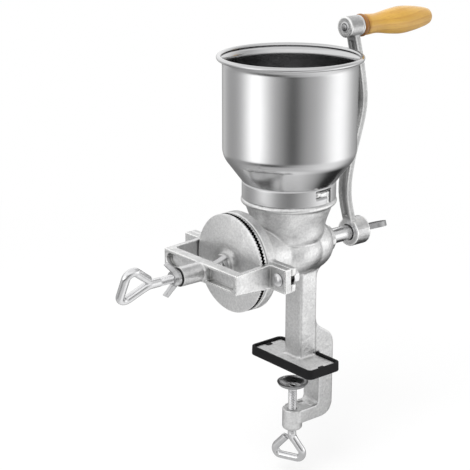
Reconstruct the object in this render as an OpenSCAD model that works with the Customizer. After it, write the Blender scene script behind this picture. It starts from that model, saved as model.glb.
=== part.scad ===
// Hand grain mill that clamps to the edge of a table.
// Millimetres, +Z up. The origin is on the table face, straight below the hopper axis.
// The grinding shaft lies along X: the crank is at +X, the burrs and their adjuster at -X.

/* [Stand] */
// Height of the grinding shaft above the table face
shaft_h = 132.5; // [126:0.5:160]
// From the hopper axis to the near face of the post, along the shaft
post_x = 8; // [4:0.5:12]
// Post size along the shaft
post_l = 22.5; // [18:0.5:25]
// Post size across the shaft
post_w = 27; // [24:0.5:32]
// Rounding of the post's upright edges
post_round = 2.5; // [1:0.5:6]
// How far the foot plate reaches in front of the post
plate_toe = 16; // [12:0.5:22]
// How far the foot plate reaches behind the post
plate_heel = 0.5; // [0.5:0.5:5]
// Foot plate size across the shaft
plate_w = 91; // [80:1:120]
// Thickness of the foot plate
plate_t = 5.5; // [5:0.5:10]
// Rounding of the foot plate's corners
plate_round = 3.5; // [2:0.5:8]
// Rubber under the foot plate
pad_floor = 2.5; // [1.5:0.5:5]
// Rubber lip round the foot plate
pad_wall = 3.2; // [2:0.1:4]
// How far the rubber lip stands up past the foot plate
pad_lip = 2.3; // [0.5:0.1:4]
// Width of the two rubber tabs that hook into the plate's ends
tab_w = 7; // [4:0.5:12]
// Depth of those tabs
tab_d = 5; // [3:0.5:8]
// Height on the post at which the back web starts to swell
web_top = 52; // [45:1:60]
// Height at which the web has reached the back of the leg
web_low = 15; // [12:0.5:20]
// Radius of the concave gusset between the post and the barrel
gusset_r = 12; // [8:0.5:13]

/* [Table clamp] */
// Gap between the rubber pad and the clamp leg
leg_gap = 2; // [1:0.5:5]
// Leg size along the shaft
leg_l = 20; // [16:0.5:26]
// Leg size across the shaft
leg_w = 25; // [20:0.5:30]
// From the table face down to the lower arm
jaw_h = 53.5; // [46:0.5:70]
// Thickness of the lower arm
arm_t = 15; // [12:0.5:20]
// Outer rounding of the leg's elbow
elbow_r = 15; // [8:0.5:18]
// Inner rounding of the leg's elbow
jaw_fillet = 4; // [2:0.5:6]
// From the leg's inner face to the clamp screw
clamp_reach = 27.5; // [24:0.5:34]
// Radius of the threaded boss
boss_r = 11; // [9:0.5:14]
// Height of the threaded boss
boss_h = 24; // [20:0.5:32]
// Radius of the clamp screw
clamp_screw_r = 4.8; // [3.5:0.1:6]
// From the table face down to the cup's rim, at rest
cup_gap = 22; // [16:0.5:26]
// Radius of the pressure cup
cup_r = 17; // [13:0.5:19]
// Depth of the pressure cup
cup_depth = 5; // [3:0.5:7]
// Sheet thickness of the pressure cup
cup_t = 1.6; // [1:0.1:2.5]
// Screw left showing between the boss and the eye
clamp_neck = 10; // [6:0.5:14]
// Turn of the clamp's eye about its screw
clamp_eye_turn = -66; // [-180:1:180]

/* [Wire eyes] */
// Radius of the wire in both eyes
wire_r = 4.3; // [3:0.1:4.4]
// Width between the corners of an eye's far side, on the wire's centre line before bending
eye_w = 48.5; // [44:0.5:54]
// How far the far side is shifted towards the wire's cut end
eye_shift = 4; // [2:0.5:5]
// Length of the clamp's eye on the wire's centre line
clamp_eye_h = 25.5; // [24:0.5:34]
// Length of the adjuster's eye on the wire's centre line
adjust_eye_h = 30.5; // [24:0.5:34]
// Bend radius of the wire's centre line
eye_bend = 7; // [5:0.5:8]

/* [Barrel] */
// Outer radius of the barrel
barrel_r = 30; // [28.5:0.5:36]
// Radius of the barrel's bore
barrel_bore_r = 24; // [20:0.5:26]
// Radius of the belly round the throat's foot
belly_r = 37; // [34:0.5:40]
// From the hopper axis to the front of the burr flange
flange_x = 71.5; // [66:0.5:78]
// How far the burr flange stands out past the burrs
flange_lip = 0.3; // [0:0.1:1]
// Thickness of the burr flange
flange_t = 11.5; // [9:0.5:14]
// Thickness of the flange's two slotted ears
lug_ear_t = 7; // [5:0.5:8]
// Fillet between the flange and the barrel
flange_fillet = 12; // [6:0.5:14]
// Where the barrel starts to close towards the rear bearing
taper_x = 19; // [10:0.5:22]
// Where the barrel has closed to the rear bearing
bearing_x = 48; // [44:0.5:52]
// Rear end of the bearing
bearing_end = 55.5; // [54:0.5:66]
// Outer radius of the rear bearing
bearing_r = 15; // [13:0.5:20]
// Wall that closes the barrel in front of the bearing
bearing_wall = 12; // [10:0.5:16]
// Radius of the oil hole's raised ring on the bearing
oil_ring_r = 3.5; // [2.5:0.1:3.7]
// Radius of the oil hole
oil_hole_r = 1.2; // [0.8:0.1:1.6]

/* [Throat] */
// Height of the throat's bead above the shaft
throat_z = 51; // [48:0.5:60]
// Outer radius of the throat's bead
throat_r = 50; // [49.5:0.5:56]
// Height of the throat's bead
bead_h = 6; // [4:0.5:7]
// Radius of the throat's cup above its rounded foot
throat_neck_r = 38; // [36:0.5:41]
// Radius of the throat's cup where it meets the belly
throat_foot_r = 31; // [29:0.5:33]
// Outer radius of the collar that the hopper turns on
spigot_r = 47.5; // [44:0.5:48]
// Wall of that collar
spigot_wall = 3.5; // [2.5:0.5:5]
// Height of that collar above the bead
spigot_h = 13; // [12.5:0.5:16]
// Width of the two bayonet lugs
lug_w = 5; // [3:0.5:8]
// Height of the lugs
lug_h = 5; // [3:0.5:6]
// Where the first lug stands round the hopper axis
lug_turn = -94; // [-180:1:180]

/* [Hopper] */
// Sheet thickness of the bowl and its band
sheet = 1.1; // [0.8:0.1:1.5]
// Height of the slotted band
band_h = 17.8; // [17:0.1:24]
// How far the hopper turns to unlock
twist = 19; // [12:1:30]
// Outer radius of the bowl
bowl_r = 69; // [62:0.5:76]
// Height of the bowl's upright wall
bowl_wall_h = 84; // [50:1:120]
// Slope of the bowl's cone from level, in degrees
cone_slope = 53; // [46:1:60]
// Radius of the shoulder between cone and wall
shoulder_r = 22; // [14:0.5:26]
// How far the rim flares out past the wall
rim_flare = 2.8; // [1.5:0.1:5]
// Radius of the rim's rolled bead
rim_bead_r = 3.2; // [2:0.1:4]

/* [Shaft and feed screw] */
// Radius of the shaft
shaft_r = 8.25; // [6.5:0.25:9]
// Depth of the flat that drives the crank
flat_d = 1.6; // [0.8:0.1:2.5]
// Radius of the feed screw's core
core_r = 11.5; // [10:0.5:14]
// Radius of the feed screw's flight
flight_r = 22.5; // [18:0.5:23]
// Thickness of the flight
flight_t = 5; // [3:0.5:7]
// Advance of the flight in one turn
flight_pitch = 34; // [26:1:44]

/* [Burrs] */
// Thickness of the fixed burr behind its teeth
fixed_burr_t = 3.8; // [3:0.1:6]
// Thickness of the turning burr at its rim, without teeth
turning_burr_t = 1.8; // [1.5:0.1:4]
// How much the turning burr's face is domed
burr_dome = 2.2; // [0.5:0.1:3]
// Radius of both burrs
burr_r = 51.2; // [46:0.1:54]
// Height of the teeth
tooth_h = 1.4; // [0.8:0.1:2]
// Number of teeth round each burr
tooth_count = 48; // [24:1:60]
// Gap between the teeth at rest
grind_gap = 0.35; // [0.3:0.05:0.8]
// Radius of the turning burr's hub
hub_r = 12; // [11.5:0.5:15]
// Length of that hub
hub_l = 7.5; // [7:0.5:9]
// Radius of the drive pin
pin_r = 2; // [1.5:0.1:2.5]
// Radius of the thrust ball
ball_r = 4; // [3:0.1:5]
// Radius on which the burr screws stand
burr_screw_at = 38; // [34:0.5:42]
// Radius of a burr screw's shank
burr_screw_r = 2.5; // [2:0.1:3]

/* [Yoke] */
// From the ears' front faces to the front of the bar
yoke_reach = 44; // [42:0.5:56]
// Depth of the bar along the shaft
bar_l = 11.6; // [10:0.1:14]
// Height of the bar
bar_h = 20; // [18:0.5:24]
// Depth of the bar's two pockets
pocket_d = 6; // [3:0.5:7]
// Flange left round the pockets
pocket_rim = 3.2; // [2:0.1:4]
// Gap between the burrs' edge and the yoke's arms
yoke_gap = 0.8; // [0.5:0.1:4]
// Thickness of the arms
yoke_arm_t = 5.5; // [4.5:0.5:8]
// Height of the ears and of the arms where they join them
ear_h = 25.5; // [20:0.5:30]
// How far the ears stand out past the arms
ear_w = 22.5; // [19:0.5:28]
// Thickness of the yoke's ears
ear_t = 7.6; // [5:0.1:10]
// Radius of the bar's threaded boss
nose_r = 10; // [9:0.5:14]
// How far the boss stands out in front of the bar
nose_l = 26.5; // [14:0.5:28]
// Radius of the yoke's bolts
bolt_r = 4; // [3:0.1:5]
// Radius of the bolts' domed heads
bolt_head_r = 7; // [6:0.5:8]
// Height of the bolts' domed heads
bolt_head_h = 3.8; // [2.5:0.1:5]
// Thickness of the washers
washer_t = 1.6; // [1:0.1:2.5]
// Size of the nuts across their flats
nut_af = 13; // [11:0.5:16]
// Height of the nuts
nut_h = 6.5; // [5:0.5:8]

/* [Adjuster] */
// Radius of the adjusting screw
adjust_r = 4.6; // [3.5:0.1:5]
// Screw left showing between the outer wing nut and the eye
adjust_neck = 29; // [10:0.5:40]
// Turn of the adjuster's eye about its screw
adjust_eye_turn = 24; // [-180:1:180]
// Lean of the adjuster's eye to one side, in degrees
adjust_eye_lean = 2; // [-12:1:12]
// Radius of the wing nuts' hubs
wing_hub_r = 8.5; // [7:0.5:11]
// Length of the wing nuts' hubs
wing_hub_l = 7.5; // [6:0.5:9]
// How far the wings reach from the axis
wing_reach = 18.5; // [16:0.5:22]
// Thickness of the wings
wing_t = 4.5; // [3:0.1:6]
// How far the wings' tips lean away from the yoke
wing_lean = 12.5; // [6:0.5:13]
// Turn of the outer wing nut
outer_wing_turn = 4; // [-180:1:180]
// Turn of the inner wing nut
inner_wing_turn = 40; // [-180:1:180]

/* [Crank] */
// From the shaft to the grip's axis
crank_r = 224.5; // [180:0.5:260]
// From the bearing's end to the crank's lower hub
crank_gap = 31.2; // [24:0.1:40]
// Length of the lower hub
low_hub_l = 19.6; // [16:0.1:24]
// Radius of the lower hub
low_hub_r = 15.5; // [13:0.5:18]
// Length of the upper hub
top_hub_l = 18.4; // [14:0.1:22]
// Radius of the upper hub
top_hub_r = 11; // [9:0.5:14]
// Width of the crank arm
crank_w = 14; // [10:0.5:18]
// Thickness of the crank arm
crank_t = 7; // [5:0.5:9]
// Width of the channel down the arm's inner face
channel_w = 6; // [3:0.5:8]
// Depth of that channel
channel_d = 1.6; // [0.8:0.1:2.5]
// How far the arm's foot leans in from the lower hub's middle
arm_lean_in = 15.5; // [8:0.5:18]
// How far the arm's bow stands out from the lower hub's middle
arm_bow_out = 4; // [0:0.5:10]
// How far the upper hub's middle lies in from the lower hub's middle
top_hub_in = 12.8; // [4:0.1:16]
// Radius of the thumb screw's thread
thumb_r = 4; // [3:0.1:5]
// How deep the thumb screw goes into the shaft
thumb_depth = 16; // [10:0.5:24]
// Radius of the thumb screw's collar
thumb_collar_r = 9; // [8:0.5:12]
// Length of the thumb screw's spade
spade_l = 32; // [24:0.5:44]
// Width of the thumb screw's spade
spade_w = 22; // [16:0.5:28]
// Thickness of the thumb screw's spade
spade_t = 6; // [4:0.5:8]
// Turn of the thumb screw
spade_turn = -18; // [-180:1:180]

/* [Grip] */
// Length of the wooden grip
grip_l = 103; // [80:1:130]
// Radius at the grip's base bead
grip_base_r = 12; // [11:0.5:14]
// Radius at the grip's neck
grip_neck_r = 10.4; // [9:0.1:12]
// Radius at the grip's swell
grip_swell_r = 14.6; // [12.5:0.1:18]
// Radius of the spindle
spindle_r = 4.2; // [3:0.1:5]
// Radius of the spindle's head
spindle_head_r = 6.5; // [6:0.1:7.5]
// Thickness of the spindle's head
spindle_head_t = 3; // [2:0.1:4]
// Height of the riveted end
rivet_h = 2; // [1:0.1:3]
// Thickness of the washer under the grip
grip_washer_t = 1.5; // [1:0.1:2.5]

/* [Fits] */
// Radial clearance of turning and threaded fits
run_fit = 0.06; // [0.02:0.01:0.1]
// Clearance between parts that pass each other
pass_fit = 0.35; // [0.3:0.05:0.6]
// Radial clearance of bolts in their holes
bolt_fit = 0.25; // [0.1:0.05:0.5]

/* [Hidden] */
$fn = 72;

cast_grey = [0.72, 0.73, 0.73];
bright_steel = [0.82, 0.83, 0.84];
zinc = [0.78, 0.79, 0.80];
rubber_black = [0.07, 0.07, 0.07];
honey_wood = [0.80, 0.55, 0.25];

// Stand and clamp, seen from the side
post_back = post_x + post_l;
plate_x0 = post_x - plate_toe;
plate_x1 = post_back + plate_heel;
plate_l = plate_x1 - plate_x0;
plate_mid = (plate_x0 + plate_x1) / 2;
plate_top = pad_floor + plate_t;
lip_top = plate_top + pad_lip;
web_under = lip_top + run_fit;
leg_x0 = plate_x1 + pass_fit + pad_wall + leg_gap;
leg_x1 = leg_x0 + leg_l;
arm_top = -jaw_h;
arm_low = arm_top - arm_t;
clamp_x = leg_x0 - clamp_reach;
boss_low = arm_top - boss_h;
arm_recess = 1.6;
notch_d = tab_d + pass_fit;
gusset_low = shaft_h - barrel_r - gusset_r / 2 + 0.5;

// Burrs, from the flange towards the front
flange_r = burr_r + flange_lip;
flange_back = flange_t - flange_x;
fixed_front = -flange_x - fixed_burr_t;
tooth_front = fixed_front - tooth_h;
turning_back = tooth_front - grind_gap - tooth_h;
turning_front = turning_back - turning_burr_t;
hub_front = turning_front - burr_dome - hub_l;
hub_wall = ball_r - 0.3;
shaft_front = hub_front + hub_wall;
pin_x = shaft_front + pin_r + 1.2;
ball_x = hub_front - ball_r / 3;
screw_tip = ball_x - ball_r - run_fit;
burr_bore_r = barrel_bore_r + 1;
tooth_gap_share = 0.4;

// Yoke
lug_ear_x = flange_back - lug_ear_t;
ear_back = lug_ear_x - run_fit;
ear_front = ear_back - ear_t;
bar_front = ear_front - yoke_reach;
bar_back = bar_front + bar_l;
nose_front = bar_front - nose_l;
yoke_in = flange_r + yoke_gap;
yoke_out = yoke_in + yoke_arm_t;
pocket_r = bar_h / 2 - pocket_rim;
pocket_end = yoke_out - pocket_rim - pocket_r;
ear_end = yoke_out + ear_w;
bolt_y = yoke_out + ear_w / 2;
ear_slot_w = 2 * (bolt_r + bolt_fit);
washer_back = flange_back + washer_t;
nut_back = washer_back + nut_h;
bolt_end = nut_back + bolt_r / 2;
washer_r = bolt_r * 2.1;

// Throat and hopper, heights above the shaft
throat_foot_z = 11;
bead_top = throat_z + bead_h;
spigot_top = bead_top + spigot_h;
band_low = bead_top + pass_fit;
band_top = band_low + band_h;
band_in = spigot_r + pass_fit;
band_r = band_in + sheet;
slot_h = lug_h + 2.5;
slot_top = band_top - 2.5;
lug_z = slot_top - (slot_h + lug_h) / 2;
lug_tip = band_r + 1;
lug_half = asin(lug_w / 2 / spigot_r);
slot_play = 0.8;
slot_leg_w = lug_w + 2;
cone_end_r = spigot_r - 1;
tangent_r = bowl_r - shoulder_r * (1 - sin(cone_slope));
tangent_z = band_top + (tangent_r - band_r) * tan(cone_slope);
wall_low = tangent_z + shoulder_r * cos(cone_slope);
wall_top = wall_low + bowl_wall_h;
rim_z = wall_top + 3 * rim_flare;

// Wire eyes: the bends are a little stouter than the straight wire, and the two run into each other
bend_swell = 0.1;
neck_swell = 0.4;
stub_drop = 1.4;
weld = 0.6;

// Feed screw
flight_x0 = 6 - flange_x;
flight_x1 = bearing_x - bearing_wall - 4;
bore_end = bearing_x - bearing_wall;

// Crank and grip
low_hub_x = bearing_end + crank_gap;
low_hub_end = low_hub_x + low_hub_l;
low_hub_mid = low_hub_x + low_hub_l / 2;
shaft_end = low_hub_end - 2;
top_hub_mid = low_hub_mid - top_hub_in;
top_hub_x = top_hub_mid - top_hub_l / 2;
top_hub_end = top_hub_mid + top_hub_l / 2;
grip_x = top_hub_end + grip_washer_t + 2 * pass_fit;
grip_end = grip_x + grip_l;
spindle_head_x = grip_end - spindle_head_t - 2;

// Clamp cup and screw, heights from the table face
cup_rim = -cup_gap;
cup_low = cup_rim - cup_depth - cup_t;
rivet_r = clamp_screw_r * 0.6;
clamp_eye_top = boss_low - clamp_neck;

// Points along an arc from angle a0 to a1
function arc(c, r, a0, a1, n = 8) =
    [for (i = [0:n]) let (a = a0 + (a1 - a0) * i / n) c + r * [cos(a), sin(a)]];

// Points along a cubic curve with four control points
function curve(p, n = 10) =
    [for (i = [0:n]) let (t = i / n, u = 1 - t)
        u * u * u * p[0] + 3 * u * u * t * p[1] + 3 * u * t * t * p[2] + t * t * t * p[3]];

// Points of a smooth curve through the given points
function spline(p, n = 6) = [
    for (k = [0:len(p) - 2], i = [0:(k == len(p) - 2 ? n : n - 1)])
        let (
            a = p[max(k - 1, 0)],
            b = p[k],
            c = p[k + 1],
            d = p[min(k + 2, len(p) - 1)],
            t = i / n
        )
        0.5 * (2 * b + (c - a) * t + (2 * a - 5 * b + 4 * c - d) * t * t
            + (3 * b - a - 3 * c + d) * t * t * t)
];

function reversed(p) = [for (i = [len(p) - 1:-1:0]) p[i]];

// A path moved sideways, to its left, by d
function beside(p, d) = [
    for (i = [0:len(p) - 1])
        let (q = p[min(i + 1, len(p) - 1)] - p[max(i - 1, 0)])
        p[i] + d * [-q.y, q.x] / norm(q)
];

// Lays an axis that was drawn along Z along X
module along_x() {
    rotate([0, 90, 0]) children();
}

// Lifts a piece from the shaft's own frame to its height
module at_shaft() {
    translate([0, 0, shaft_h]) children();
}

// A side outline in X and Z, as thick as w across the shaft
module side(w) {
    rotate([90, 0, 0]) linear_extrude(w, center = true) children();
}

// A rod of radius r between two points
module rod(a, b, r) {
    d = b - a;
    translate(a)
        rotate([0, acos(d.z / norm(d)), atan2(d.y, d.x)])
            cylinder(h = norm(d), r = r);
}

module round_rect(l, w, r) {
    square([l - 2 * r, w], center = true);
    square([l, w - 2 * r], center = true);
    for (x = [-1, 1], y = [-1, 1])
        translate([x * (l / 2 - r), y * (w / 2 - r)]) circle(r);
}

// How much of an eye's side its bend takes up, from the corner towards the side's other end
function eye_leg(corner, end) =
    eye_bend / tan(45 - atan2(corner.x - end.x, end.y - corner.y) / 2);

// The bend at one corner of an eye, and the straight wire from there to the side's other end
module eye_side(corner, end) {
    d = end - corner;
    leg = eye_leg(corner, end);
    bend_end = corner + (leg - weld) * d / norm(d);
    translate([corner.x - leg, corner.y + eye_bend, 0])
        rotate(-90)
            rotate_extrude(angle = 90 + atan2(-d.x, d.y))
                translate([eye_bend, 0]) circle(wire_r + bend_swell);
    rod([bend_end.x, bend_end.y, 0], [end.x, end.y, 0], wire_r);
}

// A three-sided eye of bent wire, h long, that hangs below the origin from a screw of radius stem_r
module wire_eye(stem_r, h) {
    near = [eye_w / 2 - eye_shift, -h];
    far = [eye_w / 2 + eye_shift, -h];
    stub = [stem_r + wire_r / 2, -stub_drop];
    rotate([90, 0, 0]) {
        eye_side(near, [0, 0]);
        mirror([1, 0, 0]) eye_side(far, stub);
        rod(
            [eye_leg(far, stub) - far.x - weld, -h, 0],
            [near.x - eye_leg(near, [0, 0]) + weld, -h, 0],
            wire_r
        );
    }
    sphere(stem_r + neck_swell);
}

// A wing nut on the X axis: its seat is at 0 and its wings lean towards -X
module wing_nut() {
    difference() {
        union() {
            along_x() mirror([0, 0, 1]) {
                cylinder(h = wing_hub_l / 2, r = wing_hub_r);
                translate([0, 0, wing_hub_l / 2])
                    cylinder(h = wing_hub_l / 2, r1 = wing_hub_r, r2 = wing_hub_r - 1.5);
            }
            for (m = [0, 1]) mirror([0, 0, m])
                side(wing_t) polygon([
                    [-1, adjust_r + 1.5],
                    [-1.5, wing_hub_r],
                    [-wing_lean, wing_reach],
                    [-wing_lean - 4, wing_reach - 2.5],
                    [-wing_hub_l, wing_hub_r - 2],
                    [-wing_hub_l, adjust_r + 1.5]
                ]);
        }
        along_x() cylinder(h = 4 * wing_hub_l, r = adjust_r + run_fit, center = true);
    }
}

// Radial teeth of a burr, tooth_h high, standing on the XY plane
module burr_teeth() {
    pitch = 360 / tooth_count;
    gap_w = 2 * burr_r * sin(pitch * tooth_gap_share / 2);
    linear_extrude(tooth_h) difference() {
        circle(burr_r);
        circle(burr_bore_r + 2);
        for (i = [0:tooth_count - 1])
            rotate(i * pitch)
                translate([burr_bore_r, -gap_w / 2])
                    square([burr_r, gap_w]);
    }
}

// Heads, shanks and clearance holes of the two burr screws
module burr_screw_shapes(extra, head_extra) {
    head_r = 2 * burr_screw_r;
    for (a = [90, 270]) at_shaft() along_x() rotate(a)
        translate([burr_screw_at, 0, fixed_front]) {
            cylinder(h = burr_screw_r, r1 = head_r + head_extra, r2 = burr_screw_r + extra);
            cylinder(h = fixed_burr_t + flange_t, r = burr_screw_r + extra);
        }
}

// Outline of the throat cup and its bead, radius against height above the shaft
module throat_outline() {
    polygon(concat(
        [[0, throat_z], [throat_r - bead_h / 2, throat_z + bead_h / 2]],
        curve([
            [throat_r - bead_h / 2 - 1, throat_z],
            [throat_r - 7, throat_z - 10],
            [throat_neck_r + 0.5, throat_foot_z + 22],
            [throat_neck_r, throat_foot_z + 12]
        ]),
        curve([
            [throat_neck_r, throat_foot_z + 12],
            [throat_neck_r - 0.5, throat_foot_z + 6],
            [throat_foot_r + 4, throat_foot_z + 1],
            [throat_foot_r, throat_foot_z]
        ]),
        [[0, throat_foot_z]]
    ));
    polygon([for (a = [-90:10:90]) [belly_r * cos(a), (barrel_r - 1) * sin(a)]]);
    translate([throat_r - bead_h / 2, throat_z + bead_h / 2]) circle(bead_h / 2);
    translate([0, throat_z]) square([throat_r - bead_h / 2, bead_h]);
    translate([0, throat_z]) square([spigot_r, bead_h + spigot_h]);
}

// What the throat leaves open, radius against height above the shaft
module throat_hollow() {
    throat_in = spigot_r - spigot_wall;
    polygon([
        [0, 0],
        [barrel_bore_r - 2, 0],
        [barrel_bore_r + 2, 14],
        [throat_in - 3, throat_z - 6],
        [throat_in, throat_z + 2],
        [throat_in, spigot_top + 1],
        [0, spigot_top + 1]
    ]);
}

// Outline of the barrel with its flange and rear bearing, radius against distance along the shaft
module barrel_outline() {
    polygon(concat(
        [[0, -flange_x], [flange_r, -flange_x], [flange_r, flange_back]],
        arc([barrel_r + flange_fillet, flange_back + flange_fillet], flange_fillet, 270, 180),
        [for (a = [0:10:90]) [
            bearing_r + (barrel_r - bearing_r) * cos(a),
            taper_x + (bearing_x - taper_x) * sin(a)
        ]],
        [[bearing_r, bearing_end], [0, bearing_end]]
    ));
}

// Side outline of the back web, the clamp leg and the lower arm
module leg_outline() {
    polygon(concat(
        [[post_back - post_round - 1, web_top]],
        curve([
            [post_back - 0.5, web_top],
            [post_back, web_top - 20],
            [leg_x1, web_low + 22],
            [leg_x1, web_low]
        ]),
        arc([leg_x1 - elbow_r, arm_low + elbow_r], elbow_r, 0, -90),
        [[clamp_x, arm_low], [clamp_x, arm_top]],
        arc([leg_x0 - jaw_fillet, arm_top + jaw_fillet], jaw_fillet, -90, 0),
        [[leg_x0, web_under], [plate_x1, web_under], [plate_x1, plate_top - 0.5]],
        [[post_back - post_round - 1, plate_top - 0.5]]
    ));
}

// Side outline of the gusset behind the post, under the barrel
module gusset_outline() {
    polygon(concat(
        [[post_back - post_round - 1, shaft_h - barrel_bore_r], [post_back - post_round - 1, gusset_low]],
        arc([post_back + gusset_r, gusset_low], gusset_r, 180, 90),
        [[post_back + gusset_r, shaft_h - bearing_r]]
    ));
}

// One ear of the burr flange, on the +Y side, with its slot open at the end
module flange_ear() {
    difference() {
        translate([lug_ear_x, 0, -ear_h / 2]) cube([lug_ear_t, ear_end, ear_h]);
        translate([lug_ear_x - 1, bolt_y, -ear_slot_w / 2])
            cube([lug_ear_t + 2, ear_w, ear_slot_w]);
        translate([lug_ear_x - 1, bolt_y, 0])
            along_x() cylinder(h = lug_ear_t + 2, r = ear_slot_w / 2);
    }
}

module foot_plate() {
    difference() {
        translate([plate_mid, 0, pad_floor])
            linear_extrude(plate_t) round_rect(plate_l, plate_w, plate_round);
        for (m = [0, 1]) mirror([0, m, 0])
            translate([plate_mid - tab_w / 2 - pass_fit, plate_w / 2 - notch_d, 0])
                cube([tab_w + 2 * pass_fit, notch_d + 1, plate_top + 1]);
    }
}

module body_casting() color(cast_grey) {
    difference() {
        union() {
            at_shaft() {
                along_x() rotate_extrude() barrel_outline();
                rotate_extrude() throat_outline();
                for (m = [0, 1]) mirror([0, m, 0]) flange_ear();
                for (a = [0, 180]) rotate(lug_turn + a)
                    translate([spigot_r - 1, -lug_w / 2, lug_z])
                        cube([lug_tip - spigot_r + 1, lug_w, lug_h]);
                translate([(bearing_x + bearing_end) / 2, 0, 0])
                    rotate([90, 0, 0]) cylinder(h = bearing_r + 1.2, r = oil_ring_r);
            }
            translate([post_x + post_l / 2, 0, plate_top - 1])
                linear_extrude(shaft_h - plate_top - barrel_bore_r / 2)
                    round_rect(post_l, post_w, post_round);
            side(leg_w) leg_outline();
            side(leg_w) gusset_outline();
            foot_plate();
            translate([clamp_x, 0, boss_low + 2]) cylinder(h = boss_h - 2, r = boss_r);
            translate([clamp_x, 0, boss_low]) cylinder(h = 2, r1 = boss_r - 2, r2 = boss_r);
        }
        at_shaft() {
            along_x() {
                translate([0, 0, -flange_x - 1])
                    cylinder(h = flange_x + 1 + bore_end, r = barrel_bore_r);
                cylinder(h = bearing_end + 1, r = shaft_r + run_fit);
            }
            rotate_extrude() throat_hollow();
            translate([(bearing_x + bearing_end) / 2, 0, 0])
                rotate([90, 0, 0]) cylinder(h = bearing_r + 2, r = oil_hole_r);
        }
        burr_screw_shapes(run_fit, run_fit);
        translate([clamp_x, 0, boss_low - 1]) cylinder(h = boss_h + 2, r = clamp_screw_r + run_fit);
        translate([clamp_x + boss_r + 1.5, -leg_w / 2 + 4, arm_top - arm_recess])
            cube([leg_x0 - jaw_fillet - clamp_x - boss_r - 2.5, leg_w - 8, arm_recess + 1]);
    }
}

module foot_pad() color(rubber_black) {
    outer = 2 * (pass_fit + pad_wall);
    difference() {
        translate([plate_mid, 0, 0])
            linear_extrude(lip_top)
                round_rect(plate_l + outer, plate_w + outer, plate_round + pass_fit + pad_wall);
        translate([plate_mid, 0, pad_floor])
            linear_extrude(lip_top)
                round_rect(plate_l + 2 * pass_fit, plate_w + 2 * pass_fit, plate_round + pass_fit);
    }
    for (m = [0, 1]) mirror([0, m, 0])
        translate([plate_mid - tab_w / 2, plate_w / 2 - tab_d, pad_floor - 0.5])
            cube([tab_w, tab_d + pass_fit + pad_wall / 2, plate_t + 0.8]);
}

// Outer line of the bowl from the cone's end to the rim, radius against height above the shaft
function bowl_line() = concat(
    [[cone_end_r, band_top - (band_r - cone_end_r) * tan(cone_slope)]],
    arc([bowl_r - shoulder_r, wall_low], shoulder_r, cone_slope - 90, 0),
    [[bowl_r, wall_top]],
    curve([
        [bowl_r, wall_top + 0.5],
        [bowl_r, wall_top + rim_flare],
        [bowl_r + rim_flare * 0.5, rim_z - rim_flare],
        [bowl_r + rim_flare, rim_z]
    ], 5)
);

module hopper_bowl() color(bright_steel) at_shaft() rotate_extrude() {
    polygon(concat(bowl_line(), reversed(beside(bowl_line(), sheet))));
    translate([bowl_r + rim_flare, rim_z]) circle(rim_bead_r);
}

// A sector of the band's wall that a bayonet slot takes away
module band_cut(a0, a1, z0, z1) {
    rotate(a0) rotate_extrude(angle = a1 - a0)
        translate([band_in - 1, z0]) square([sheet + 2, z1 - z0]);
}

module hopper_collar() color(bright_steel) at_shaft() difference() {
    rotate_extrude() polygon([
        [band_in, band_low],
        [band_r, band_low],
        [band_r, band_top - run_fit],
        [band_in, band_top - run_fit - sheet * tan(cone_slope)]
    ]);
    for (a = [0, 180]) rotate(lug_turn + a) {
        reach = lug_half + slot_play;
        band_cut(-reach, twist + reach, slot_top - slot_h, slot_top);
        rotate(twist) translate([band_in - 1, -slot_leg_w / 2, band_low - 1])
            cube([sheet + 2, slot_leg_w, slot_top - band_low]);
    }
}

module auger() color(zinc) at_shaft() along_x() difference() {
    union() {
        difference() {
            translate([0, 0, shaft_front])
                cylinder(h = shaft_end - shaft_front, r = shaft_r);
            translate([-shaft_r - flat_d, -shaft_r, low_hub_x - 1])
                cube([2 * flat_d, 2 * shaft_r, low_hub_l + 1]);
        }
        translate([0, 0, flight_x0]) {
            cylinder(h = flight_x1 - flight_x0, r = core_r);
            linear_extrude(
                flight_x1 - flight_x0,
                twist = -360 * (flight_x1 - flight_x0) / flight_pitch,
                slices = 54,
                segments = 4
            )
                translate([0, -flight_t / 2]) square([flight_r, flight_t]);
        }
    }
    translate([0, 0, pin_x]) rotate([0, 90, 0])
        cylinder(h = 4 * hub_r, r = pin_r + run_fit, center = true);
    translate([0, 0, shaft_end - thumb_depth - 2])
        cylinder(h = thumb_depth + 3, r = thumb_r + run_fit);
}

module fixed_burr() color(cast_grey) difference() {
    at_shaft() along_x() {
        translate([0, 0, fixed_front]) difference() {
            cylinder(h = fixed_burr_t, r = burr_r);
            translate([0, 0, -1]) cylinder(h = fixed_burr_t + 2, r = burr_bore_r);
        }
        translate([0, 0, tooth_front]) burr_teeth();
    }
    burr_screw_shapes(run_fit, run_fit);
    for (a = [90, 270]) at_shaft() along_x() rotate(a)
        translate([burr_screw_at, 0, tooth_front - 1])
            cylinder(h = tooth_h + 1, r = 2 * burr_screw_r + run_fit);
}

module burr_screws() color(zinc) burr_screw_shapes(0, 0);

module turning_burr() color(cast_grey) at_shaft() along_x() difference() {
    union() {
        rotate_extrude() polygon(concat(
            [[0, turning_back], [burr_r, turning_back], [burr_r - 0.7, turning_back - 0.9]],
            [for (t = [1:-0.2:0]) [
                hub_r + 4 + t * (burr_r - 2.4 - hub_r - 4),
                turning_front - burr_dome * (1 - t * t)
            ]],
            [[hub_r, turning_front - burr_dome - 2], [hub_r, hub_front + 2]],
            [[hub_r - 2, hub_front], [0, hub_front]]
        ));
        translate([0, 0, turning_back]) burr_teeth();
    }
    translate([0, 0, shaft_front - run_fit])
        cylinder(h = turning_back - shaft_front + tooth_h + 1, r = shaft_r + run_fit);
    translate([0, 0, pin_x]) rotate([0, 90, 0])
        cylinder(h = 4 * hub_r, r = pin_r + run_fit, center = true);
    translate([0, 0, ball_x]) sphere(ball_r + run_fit);
}

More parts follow.
